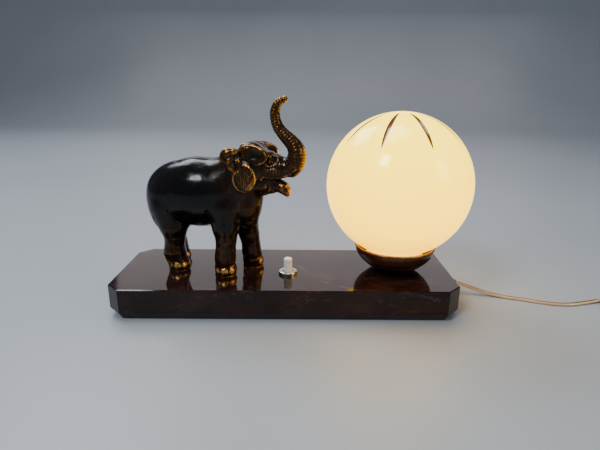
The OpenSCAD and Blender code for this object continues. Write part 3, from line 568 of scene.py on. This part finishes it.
def add_tie():
    """A flat, slightly crowned tie round the coil."""
    low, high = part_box("coil_tie")
    centre = (low + high) / 2
    out = Vector((math.cos(math.radians(-135)), math.sin(math.radians(-135)), 0))
    half = (COIL_OUTER_R - COIL_INNER_R + FLEX_T) / 2 + 0.0005
    top = (high.z - low.z) / 2 - 0.0003
    loop = [(math.cos(a), math.sin(a)) for a in np.linspace(0, 2 * math.pi, 48, endpoint=False)]
    loop = [(math.copysign(abs(x) ** 0.4, x) * half, math.copysign(abs(y) ** 0.4, y) * top) for x, y in loop]
    side = Vector((-out.y, out.x, 0))
    section = ((-0.0019, 0), (-0.0012, 0.0003), (0, 0.0006), (0.0012, 0.0003), (0.0019, 0), (0, -0.0002))
    points = []
    for x, y in loop:
        for across, lift in section:
            grow = 1 + lift / half
            points.append(centre + out * (x * grow) + side * across + Vector((0, 0, y * grow)))
    return add_piece("coil_tie_band", points, grid_faces(len(loop), len(section), wrap_rows=True), "rubber",
                     replaces=("coil_tie",))


# ---------------------------------------------------------------- gallery and globe

def add_gallery():
    """The turned gallery: a flared foot, a step, a bowl with a rolled rim, and the seat and well inside."""
    low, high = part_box("gallery")
    foot_r = 0.0188
    rim_r = (high.x - low.x) / 2
    z0 = low.z
    tall = high.z - low.z
    outside = [(foot_r - 0.0006, 0, 0.2), (foot_r, 0.0004, 1)]
    for h in np.linspace(0.001, 0.0088, 12):
        outside.append((foot_r + 0.5 * (rim_r - foot_r) * (1 - math.cos(math.pi * h / 0.0092)) / 2, h, 0.1))
    step_r = foot_r + 0.58 * (rim_r - foot_r)
    outside += [(step_r - 0.0012, 0.0093, 0.6), (step_r - 0.0003, 0.0096, 1), (step_r, 0.0101, 1),
                (step_r - 0.0004, 0.0106, 0.6), (step_r - 0.0005, 0.011, 0.1)]
    for u in np.linspace(0.05, 0.9, 20) ** 1.4:
        h = 0.0104 + (tall - 0.0104) * u
        outside.append((step_r + (rim_r - step_r) * math.sin(math.pi / 2 * u) ** 0.72, h, 0.1))
    roll_r = 0.0011
    for a in np.linspace(-60, 210, 12):
        angle = math.radians(a)
        outside.append((rim_r - roll_r * (1 - math.cos(angle)), tall - roll_r * (1 - math.sin(angle)), 1))
    inside = [(rim_r - 0.003, tall - 0.0035, 0.2), (0.034, 0.0165, 0), (0.0304, 0.0141, 0),
              (0.03, 0.0126, 0.2), (0.0232, 0.0125, 0.5), (0.023, 0.012, 0.5), (0.0228, 0.007, 0),
              (0.0155, 0.003, 0), (0.0056, 0.0029, 0), (0.0053, 0.0001, 0)]
    profile = outside + inside
    lathe("turned_gallery", [(r, z0 + h) for r, h, _ in profile], "bronzed_brass", "base", LAMP,
          values={"edge": [e for _, _, e in profile]}, segments=160, sharp=50, replaces=("gallery",))


def add_spring():
    """The button's coil spring, with closed end turns, built at the spring part's height; this mesh does not
    shorten as the button goes down.
    """
    low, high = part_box("switch_spring")
    height = high.z - low.z
    mean_r = 0.0042
    wire_r = 0.00035
    sides = 10
    turns = 6.5
    closed = 0.75
    closed_rise = 0.0006
    turn = np.linspace(0, turns, int(turns * 36))
    z = low.z + wire_r + closed_rise * np.minimum(turn, closed) / closed
    z += np.clip((turn - closed) / (turns - 2 * closed), 0, 1) * (height - 2 * wire_r - 2 * closed_rise)
    z += closed_rise * np.maximum(turn - turns + closed, 0) / closed
    points = []
    for a, middle_z in zip(turn * 2 * math.pi, z):
        for k in range(sides):
            b = 2 * math.pi * k / sides
            r = mean_r + wire_r * math.cos(b)
            points.append((SWITCH.x + r * math.cos(a), SWITCH.y + r * math.sin(a),
                           middle_z + wire_r * math.sin(b)))
    faces = grid_faces(len(turn), sides)
    faces += [tuple(range(sides))[::-1], tuple(range((len(turn) - 1) * sides, len(turn) * sides))]
    spring = add_piece("button_spring", points, faces, "steel", replaces=("switch_spring",))
    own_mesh(spring)


# The globe's leaf-shaped cuts: their angles from the crown, their size, and where the first one is
CUTS = 8
CUT_FROM, CUT_TO = math.radians(9.5), math.radians(54)
CUT_HALF_W = 0.0024
CUT_DEPTH = 0.0009
FIRST_CUT = math.radians(-74)


def add_globe():
    """The ball with its ground neck and bead, and eight leaf-shaped cuts fanning from the crown."""
    wall = 0.003
    neck_r = 0.0275
    neck_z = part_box("globe")[0].z
    neck_angle = math.pi - math.asin(neck_r / GLOBE_R)
    polar = np.concatenate([np.radians(np.arange(0.25, 8, 0.75)), np.radians(np.arange(8, 56, 0.4)),
                            np.linspace(math.radians(56), neck_angle - 0.03, 60)])
    turns = 900
    around = np.linspace(0, 2 * math.pi, turns, endpoint=False)
    nearest = (around - FIRST_CUT + math.pi / CUTS) % (2 * math.pi / CUTS) - math.pi / CUTS
    points, cut = [], []
    for theta in polar:
        u = (theta - CUT_FROM) / (CUT_TO - CUT_FROM)
        half = CUT_HALF_W * (4 * u * (1 - u)) ** 0.75 if 0 < u < 1 else 0
        off = np.abs(GLOBE_R * math.sin(theta) * nearest)
        into = np.clip(1 - off / half, 0, 1) if half > 1e-5 else 0 * off
        r = GLOBE_R - CUT_DEPTH * into * min(1.0, half / CUT_HALF_W * 1.2)
        points.append(np.stack([LAMP.x + r * math.sin(theta) * np.cos(around),
                                LAMP.y + r * math.sin(theta) * np.sin(around),
                                GLOBE_Z + r * math.cos(theta)], axis=1))
        cut.append(np.minimum(1, into * 2.5))
    neck_top = GLOBE_Z + GLOBE_R * math.cos(neck_angle - 0.03)
    ring_r = GLOBE_R * math.sin(neck_angle - 0.03)
    bead = [(29.1, 2.6), (29.3, 1.8), (29.3, 0.7), (28.9, 0.1), (28.2, 0)]
    outline = [(ring_r - 0.0009, neck_top - 0.0012), (neck_r + 0.0002, neck_z + 0.0072),
               (neck_r, neck_z + 0.0048)]
    outline += [(r * MM, neck_z + z * MM) for r, z in bead]
    outline += [(0.0252, neck_z), (0.0247, neck_z + 0.0005), (0.0247, neck_z + 0.008)]
    inner = GLOBE_R - wall
    inner_angle = math.pi - math.asin(0.0252 / inner)
    outline += [(inner * math.sin(a), GLOBE_Z + inner * math.cos(a))
                for a in np.linspace(inner_angle, 0.004, 60)]
    for r, z in outline:
        ring = [LAMP.x + r * np.cos(around), LAMP.y + r * np.sin(around), 0 * around + z]
        points.append(np.stack(ring, axis=1))
        cut.append(0 * around)
    rows = len(points)
    points = np.concatenate(points)
    faces = grid_faces(rows, turns)
    faces += [tuple(range(turns))[::-1], tuple(range((rows - 1) * turns, rows * turns))]
    add_piece("cut_globe", points, [f[::-1] for f in faces], "opal_glass", "globe",
              values={"cut": np.concatenate(cut)}, replaces=("globe",))


# ---------------------------------------------------------------- elephant

# The figure's own frame, in millimetres: forward, across (towards the far side) and up from the soles.
# It is modelled as a field of distances, negative inside, and then turned into a mesh.
FIGURE_LOW = np.array([-70.0, -33.0, -1.5])
FIGURE_HIGH = np.array([112.0, 34.0, 173.0])
CELL = 0.6
FIGURE_TURN = math.radians(-15)
FIGURE_AT = (-0.080, 0.003)


class Clay:
    def __init__(self):
        self.axes = [np.arange(a, b, CELL, dtype=np.float32) for a, b in zip(FIGURE_LOW, FIGURE_HIGH)]
        self.field = np.full([len(a) for a in self.axes], 9.0, np.float32)

    def window(self, low, high):
        first = np.maximum(((np.asarray(low) - FIGURE_LOW) / CELL).astype(int), 0)
        last = np.minimum(((np.asarray(high) - FIGURE_LOW) / CELL).astype(int) + 2, self.field.shape)
        cut = tuple(slice(a, b) for a, b in zip(first, last))
        grids = np.meshgrid(*[axis[c] for axis, c in zip(self.axes, cut)], indexing="ij")
        return cut, np.stack(grids, axis=-1)

    def blend(self, cut, distance, soft, carve):
        old = self.field[cut]
        sign = -1.0 if carve else 1.0
        a = old * sign
        h = np.clip(0.5 + 0.5 * (a - distance) / soft, 0, 1)
        self.field[cut] = sign * (a * (1 - h) + distance * h - soft * h * (1 - h))

    def egg(self, at, half, turn=(0, 0, 0), soft=4.0, carve=False):
        """An ellipsoid with its half-axes, turned by degrees about each axis in order."""
        at, half = np.array(at, float), np.array(half, float)
        matrix = np.eye(3)
        for axis, degrees in enumerate(turn):
            c, s = math.cos(math.radians(degrees)), math.sin(math.radians(degrees))
            step = np.eye(3)
            i, j = [k for k in range(3) if k != axis]
            step[i, i] = step[j, j] = c
            step[i, j], step[j, i] = (-s, s) if axis != 1 else (s, -s)
            matrix = step @ matrix
        reach = np.sqrt((matrix**2) @ (half**2)) + soft + 2
        cut, p = self.window(at - reach, at + reach)
        q = (p - at) @ matrix
        k0 = np.linalg.norm(q / half, axis=-1)
        k1 = np.linalg.norm(q / half**2, axis=-1)
        self.blend(cut, k0 * (k0 - 1) / np.maximum(k1, 1e-6), soft, carve)

    def limb(self, points, soft=4.0, inner=1.5, carve=False, ring=None):
        """A chain of round cones through [forward, across, up, radius]; ring is pitch, depth of wrinkles."""
        p = np.array(points, float)
        reach = p[:, 3].max() + soft + 2
        cut, q = self.window(p[:, :3].min(0) - reach, p[:, :3].max(0) + reach)
        best, run = None, 0.0
        for a, b in zip(p, p[1:]):
            ab = b[:3] - a[:3]
            length = np.linalg.norm(ab)
            v = q - a[:3]
            t = np.clip((v @ ab) / length**2, 0, 1)
            radius = a[3] + (b[3] - a[3]) * t
            if ring:
                radius = radius + ring[1] * np.cos(2 * math.pi * (run + t * length) / ring[0])
            d = np.linalg.norm(v - t[..., None] * ab, axis=-1) - radius
            run += length
            if best is None:
                best = d
            else:
                h = np.clip(0.5 + 0.5 * (best - d) / inner, 0, 1)
                best = best * (1 - h) + d * h - inner * h * (1 - h)
        self.blend(cut, best, soft, carve)

    def skin(self, s, z, side):
        """How far across the surface is at a place seen from that side."""
        i = int(round((s - FIGURE_LOW[0]) / CELL))
        k = int(round((z - FIGURE_LOW[2]) / CELL))
        inside = np.nonzero(self.field[i, :, k] < 0)[0]
        if not len(inside):
            return 0.0
        return float(self.axes[1][inside[0] if side < 0 else inside[-1]])

    def line(self, points, radius, side, soft=1.0, carve=False, sink=0.3):
        """A ridge, or a crease, drawn on the skin of one side through (forward, up) places."""
        spots = catmull([(s, z, 0) for s, z in points], 5)
        taper = np.sin(np.linspace(0.12, 1, len(spots)) * math.pi * 0.88) ** 0.5
        chain = [(s, self.skin(s, z, side) - side * sink * radius, z, radius * w)
                 for (s, z, _), w in zip(spots, taper)]
        self.limb(chain, soft, 0.4, carve)


SOLES = [(-25.5, -11.6), (26, -13.5), (43.5, 16.6), (-37.5, 12.7)]
# Each leg from hip or shoulder to sole: forward, across, up, radius
LEGS = {
    "near_rear": [(-32, -9, 62, 19), (-29, -11.5, 44, 13.5), (-28.2, -12, 34, 10), (-29.2, -12, 26, 9.2),
                  (-29.4, -12, 18, 10.6), (-28.4, -11.8, 12, 9.4), (-26, -11.6, 8.6, 9.6)],
    "near_front": [(27, -11, 66, 17), (27.5, -13, 48, 12.6), (27.8, -13.8, 36, 9.6), (27, -13.8, 26, 9.2),
                   (26.2, -13.6, 18, 9.6), (26, -13.6, 12, 9.2), (26, -13.5, 8.6, 9.8)],
    "far_front": [(33, 10, 66, 17), (38, 13.5, 46, 12), (40.5, 15, 34, 9.8), (41.8, 16, 24, 8.9),
                  (42.3, 16.3, 16, 9.3), (42.9, 16.6, 11, 9), (43.4, 16.6, 8.6, 9.6)],
    "far_rear": [(-36, 10, 62, 19), (-39, 12, 44, 13), (-40, 12.5, 33, 10), (-41, 12.7, 25, 9.2),
                 (-40.6, 12.7, 18, 10.4), (-39, 12.7, 12, 9.3), (-37.7, 12.7, 8.6, 9.6)],
}
NAIL_ANGLES = (-118, -74, -30, 14)
# Centre line of the trunk from the face to the tip
TRUNK = [
    (70, -2, 107.5, 13.4), (77, -2.4, 106.2, 11.6), (84, -3, 105.9, 9.9), (90, -3.7, 107.8, 8.9),
    (94.2, -4.4, 111.8, 8.5), (96.3, -4.9, 117.4, 8.2), (96.2, -5, 122.6, 7.5), (93.8, -5, 127.4, 6.8),
    (90.2, -5, 131.4, 6.2), (86.4, -5, 134.8, 5.7), (82.6, -5, 138.4, 5.2), (79.2, -5, 142.4, 4.8),
    (76.9, -5, 147, 4.5), (75.8, -5, 151.6, 4.15), (75.5, -5, 156, 3.8), (76.2, -5, 160, 3.45),
    (78, -5, 163.4, 3.15), (80.8, -5, 166, 2.95), (84, -5, 167.3, 2.9),
]


def model_body(clay):
    clay.egg((-30, 0, 75), (30, 26, 29.5), (0, -8, 0), 1)
    clay.egg((0, 0, 78.5), (36, 30, 33.2), soft=9)
    clay.egg((22, 0, 80), (28, 27, 32.2), soft=9)
    clay.egg((-13, 0, 78.4), (39, 28.4, 31.6), (0, -6, 0), soft=9)
    clay.egg((-37.5, 0, 60), (19.5, 22.5, 26), soft=8)
    clay.limb([(24, 0, 86, 24.4), (38, 0, 98, 21.5), (50, -1, 106, 18)], 7, 4)
    clay.limb([(34, 0, 70, 22), (44, 0, 66, 14.5), (47, 0, 54, 9)], 7, 4)
    clay.limb([(47, 0, 88, 15), (50, 0, 78, 10), (47, 0, 64, 7)], 6, 4)
    for chain in LEGS.values():
        clay.limb(chain, 5, 3)
    clay.limb([(-48, 0, 88, 5), (-56, 0, 83, 3.6), (-59.4, -0.6, 73, 2.5), (-59, -1.4, 61, 2),
               (-56, -2, 50, 1.8)], 2.2, 1, ring=(2.6, 0.12))
    for k in range(5):
        angle = math.radians(72 * k)
        tip = (-53.6 + 1.5 * math.cos(angle), -2.4 + 1.7 * math.sin(angle),
               42 + 1.2 * math.sin(2 * angle), 0.5)
        clay.limb([(-56, -2, 51, 1.7), (-55, -2.2, 46.5, 1.9), tip], 0.8, 0.5)


def nails():
    """Where each toenail is, and the way it faces in degrees."""
    for s, t in SOLES:
        for angle in NAIL_ANGLES:
            turn = angle if t < 0 else -angle
            a = math.radians(turn)
            yield (s + 9.3 * math.cos(a), t + 9.3 * math.sin(a), 5.6), turn


def model_feet(clay):
    for s, t in SOLES:
        clay.limb([(s, t, 5.6, 10.1), (s, t, 4.6, 10.2)], 2, 1)
        clay.egg((s, t, 0.2), (10.5, 10.5, 2.6), soft=1.0)
        around = [(s + 10.6 * math.cos(a) - 0.6, t + 10.6 * math.sin(a), 11 + 0.8 * math.cos(a * 2), 0.5)
                  for a in np.linspace(0, 2 * math.pi, 22)]
        clay.limb(around, 1.6, 0.5, carve=True)
    for at, turn in nails():
        clay.egg(at, (1.9, 4.1, 3.5), (0, -10, turn), soft=0.9)


def model_head(clay):
    clay.egg((52, -1, 107.5), (18.6, 17.6, 20.4), (0, 12, 0), 5)
    for side in (-1, 1):
        clay.egg((53.5, side * 6 - 1, 121), (10.5, 8, 8.6), (0, 8, 0), 4)
        clay.egg((59, side * 12.5 - 1, 104), (9.5, 5.5, 9), (0, 20, 0), 4)
        clay.egg((66, side * 8 - 1.6, 116.6), (9, 5, 4.6), (0, 22, 0), 3)
    clay.egg((65, -2, 103.5), (13.5, 13.6, 16.5), (0, 10, 0), 5)
    clay.limb(TRUNK, 3.5, 2.2, ring=(2.6, 0.26))
    clay.limb([(54, -2, 90, 12), (62, -2, 89, 9.6), (71, -2.6, 89.4, 7.2), (78, -3.2, 89.8, 5.4),
               (83, -3.8, 88, 5.6), (86, -4, 84.6, 3.9), (87, -4.2, 82.2, 1.9)], 4, 2)


def model_mouth(clay):
    """A lip line under the trunk, the open mouth with its tongue, and folds at the corner and the throat."""
    for t in (-7, -3.4, 0.2):
        clay.limb([(67, t, 96.4, 1.3), (73, t, 96.2, 1.6), (80, t, 96.6, 1.8), (88, t, 97, 3)],
                  1.2, 1, carve=True)
    clay.limb([(73, -3.4, 93.4, 3), (79, -3.6, 92.8, 2.9), (84, -3.8, 90.4, 2.4)], 1.6, 0.8)
    for side in (-1, 1):
        clay.line([(66, 100.6), (73, 98.6), (81, 98.8), (90, 102.4), (97, 107.2)], 1.0, side, 1.2)
        clay.line([(63.5, 96), (67, 93.5), (69.5, 89), (68.5, 85)], 0.8, side, 1, carve=True)
        clay.line([(67.5, 100), (65.4, 96.5), (67, 92.4)], 1.15, side, 1.2)
        clay.line([(58, 94), (62, 89), (63.4, 84.5)], 0.9, side, 1.2, carve=True)
        clay.egg((62, side * 9 - 1.5, 90), (6, 3, 4), soft=3)


def model_eyes(clay):
    for side in (-1, 1):
        t = clay.skin(73, 113.4, side)
        clay.egg((73, t + side * 0.2, 113.4), (4.2, 2.2, 3), (0, 20, 0), 1.4, carve=True)
        clay.egg((73, t - side * 1.0, 113.3), (1.9, 1.7, 1.7), soft=0.4)
        ring = [(73 + 2.9 * math.cos(a), t - side * 0.55,
                 113.3 + 2.1 * math.sin(a) - 0.25 * 2.9 * math.cos(a), 0.5)
                for a in np.linspace(0, 2 * math.pi, 19)]
        clay.limb(ring, 0.7, 0.3)
        clay.line([(60, 117.6), (64, 113), (69, 114.4), (73, 117.6), (78, 116.8), (81, 113.6)],
                  1.05, side, 1.0)
        clay.line([(69, 108.8), (73, 107.6), (78, 108.4)], 0.35, side, 1.6, carve=True)


def model_ears(clay):
    """Each ear: a dished lobe with a raised rim, a rolled knob behind it, and a pleated flap below."""
    for side in (-1, 1):
        t = side
        clay.egg((58.5, t * 15.6, 119.4), (14.4, 4.4, 8.2), (0, 8, 0), 2.5)
        clay.egg((58.4, t * 21.4, 120), (11.6, 4.2, 6.6), (0, 8, 0), 1.6, carve=True)
        rim = [(58.3 + 12.8 * math.cos(a), t * (17.2 + 0.7 * math.cos(a)),
                119.4 + 8 * math.sin(a) - 1.8 * math.cos(a), 0.9 - 0.35 * math.sin(a))
               for a in np.linspace(0, 2 * math.pi, 40)]
        clay.limb(rim, 1.4, 0.4)
        clay.egg((52, t * 16.4, 120.4), (4.5, 2, 4), (0, 20, 0), 3)
        clay.egg((36, t * 22.4, 118.6), (7.6, 4.4, 6.4), (0, -35, 0), 2)
        clay.egg((41.4, t * 22.2, 122), (4.8, 3.6, 3.6), soft=1)
        clay.egg((32.4, t * 23.4, 115.4), (3.7, 3.3, 4), soft=0.8)
        clay.limb([(40.6, t * 26.2, 118.6, 1.0), (37, t * 26.8, 115.4, 1.3), (35.4, t * 26.4, 112, 0.8)],
                  1.4, 0.5, carve=True)
        clay.limb([(37, t * 22.4, 113, 4.4), (39.4, t * 21.6, 108, 3.8), (43, t * 20.6, 104, 3.6)], 3, 2)
        clay.limb([(44.6, t * 20, 113, 3.2), (46.6, t * 19.6, 109, 3), (45.8, t * 19.6, 105.6, 3)], 3, 2)
        clay.egg((51, t * 20.2, 98.4), (11.6, 3.2, 13.2), (0, 4, t * 12), 3)
        edge = [(51 + 10.2 * math.cos(a), t * (20.8 - 1.8 * math.cos(a)), 98 + 12.4 * math.sin(a), 0.6)
                for a in np.linspace(math.radians(150), math.radians(385), 34)]
        clay.limb(edge, 0.9, 0.4)
        for k in range(9):
            s = 42.6 + 1.9 * k
            top = 103.4 + 4 * math.sin(math.pi * (k + 0.6) / 9)
            low = 96 - 7 * math.sin(math.pi * (k + 0.7) / 9.2)
            clay.line([(s + 3, top), (s + 1, (top + low) / 2), (s - 0.6, low)],
                      0.5, side, 0.6, carve=True, sink=-0.1)


def model_folds(clay):
    """Loose skin at elbows, knees, flank and neck, and the trunk's two nostrils."""
    for side in (-1, 1):
        near = side < 0
        f = 0 if near else 12
        r = 0 if near else -11
        for points, radius in (
            ([(31 + f, 60), (33.4 + f, 50), (31 + f, 38)], 0.4),
            ([(-17 + r, 51), (-22 + r, 55), (-25 + r, 63)], 0.5),
            ([(-44 + r / 3, 56), (-45 + r / 3, 48), (-42 + r / 3, 40)], 0.4),
            ([(8, 52), (13, 57), (15, 66)], 0.4),
        ):
            clay.line(points, radius, side, 2.8, carve=True)
    for t in (-6.1, -3.9):
        clay.limb([(88, t, 167.9, 0.85), (84.5, t, 167.2, 0.7)], 0.3, 0.2, carve=True)
    clay.limb([(84.6, -5, 169.2, 1.5), (87, -5, 168.2, 1.0)], 1, 0.5)


def relax(points, faces, rounds):
    """Where the points go when each moves to the mean of its neighbours, again and again."""
    a = np.concatenate([faces[:, 0], faces[:, 1], faces[:, 2], faces[:, 3]])
    b = np.concatenate([faces[:, 1], faces[:, 2], faces[:, 3], faces[:, 0]])
    count = np.bincount(a, minlength=len(points))[:, None]
    for _ in range(rounds):
        points = np.stack([np.bincount(a, points[b, i], len(points)) for i in range(3)], axis=1) / count
    return points


def add_elephant():
    clay = Clay()
    for step in (model_body, model_feet, model_head, model_mouth, model_eyes, model_ears, model_folds):
        step(clay)
    clay.field[:, :, clay.axes[2] < 0.05] = 3.0
    grid = openvdb.FloatGrid(9.0)
    grid.copyFromArray(clay.field)
    points, _, quads = grid.convertToPolygons(0.0, 0.0)
    points = points.astype(float) * CELL + FIGURE_LOW
    faces = quads.astype(np.int64)
    points = relax(points, faces, 1) * 0.5 + points * 0.5
    a, b, c, d = (points[faces[:, i]] for i in range(4))
    across = np.cross(c - a, d - b)
    normals = np.stack([sum(np.bincount(faces[:, i], across[:, j], len(points)) for i in range(4))
                        for j in range(3)], 1)
    normals /= np.linalg.norm(normals, axis=1)[:, None] + 1e-12
    hollow = np.einsum("ij,ij->i", relax(points, faces, 10) - points, normals)
    if hollow[points[:, 2] > 2].mean() > 0:
        hollow, faces = hollow * -1, faces[:, ::-1]
    s, t, z = points.T
    head = smoothstep(s + 0.3 * (z - 80), 14, 50) * smoothstep(z, 30, 60) * 0.3
    legs = smoothstep(z, 76, 26) * 0.27
    rump = smoothstep(s, -26, -62) * smoothstep(z, 88, 50) * 0.27
    gilt = np.maximum.reduce([head, legs, rump])
    gilt += smoothstep(np.linalg.norm(points - (50, -24, 97), axis=1), 13, 7) * 0.16
    for nail, _ in nails():
        gilt += smoothstep(np.linalg.norm(points - nail, axis=1), 4.6, 3.2) * 0.46
    gilt += np.clip(-hollow - 0.03, 0, 0.24) * 1.9 * smoothstep(gilt, 0.1, 0.3)
    hollow = hollow * (0.35 + 0.65 * smoothstep(z, 72, 84) * smoothstep(s, 20, 34))
    turned = np.stack([s * math.cos(FIGURE_TURN) - t * math.sin(FIGURE_TURN),
                       s * math.sin(FIGURE_TURN) + t * math.cos(FIGURE_TURN), z], axis=1) * MM
    turned += (FIGURE_AT[0], FIGURE_AT[1], TOP_Z)
    add_piece("lacquered_elephant", turned, faces.tolist(), "figure_bronze",
              values={"gilt": gilt, "hollow": np.clip(hollow * 2.2, 0, 1)}, replaces=("elephant_figure",))


# ---------------------------------------------------------------- CAD nodes, stage and lights

def dress_cad_nodes():
    """Every CAD node takes the material of its slot in the record."""
    for entry in frame["record"]["subparts"]:
        piece = frame["nodes"][entry["node"]]
        piece.data.materials.clear()
        piece.data.materials.append(MATERIALS[entry["material_slot"]])


def add_stage():
    """A pale floor that curves up into a backdrop far behind."""
    reach, depth, bend = 6.0, 3.2, 1.2
    line = [(-3.0, 0.0), (depth - bend, 0.0)]
    line += [(depth - bend + bend * math.sin(a), bend - bend * math.cos(a))
             for a in np.linspace(0.1, math.pi / 2, 16)]
    line += [(depth, 5.0)]
    points = [(x, y, z) for y, z in line for x in (-reach, reach)]
    mesh = bpy.data.meshes.new("floor")
    mesh.from_pydata(points, [], [f[::-1] for f in grid_faces(len(line), 2, wrap_columns=False)])
    mesh.materials.append(floor_material())
    mesh.shade_smooth()
    floor = bpy.data.objects.new("floor", mesh)
    bpy.context.scene.collection.objects.link(floor)


def add_light(name, at, target, size, watts, colour=(1, 1, 1)):
    data = bpy.data.lights.new(name, "AREA")
    data.shape = "RECTANGLE"
    data.size, data.size_y = size
    data.energy = watts
    data.color = colour
    light = bpy.data.objects.new(name, data)
    light.location = at
    light.rotation_euler = (Vector(target) - Vector(at)).to_track_quat("-Z", "Y").to_euler()
    bpy.context.scene.collection.objects.link(light)


def add_lights():
    world = bpy.data.worlds.new("studio")
    bpy.context.scene.world = world
    world.use_nodes = True
    background = world.node_tree.nodes["Background"]
    background.inputs["Color"].default_value = (0.62, 0.68, 0.78, 1)
    background.inputs["Strength"].default_value = 0.3
    middle_at = (-0.03, 0, 0.1)
    add_light("backdrop_panel", (0.2, 2.9, 1.27), (0.2, 0, 0.2), (3.2, 0.85), 9, (1, 0.9, 0.9))
    add_light("back_left", (-1.0, 1.2, 1.7), middle_at, (1.0, 0.8), 22, (0.86, 0.93, 1))
    add_light("key", (-0.7, -0.9, 1.3), middle_at, (0.35, 0.5), 14, (0.9, 0.95, 1))
    add_light("fill_right", (1.5, -0.8, 0.8), middle_at, (0.5, 0.8), 6, (1, 0.95, 0.88))
    add_light("overhead", (-0.1, 0.2, 1.9), middle_at, (0.9, 0.7), 14)


add_camera()
flex, flex_line = add_lead()
plug = add_plug()
tie = add_tie()
add_gallery()
add_spring()
add_globe()
add_elephant()
dress_cad_nodes()
add_stage()
add_lights()
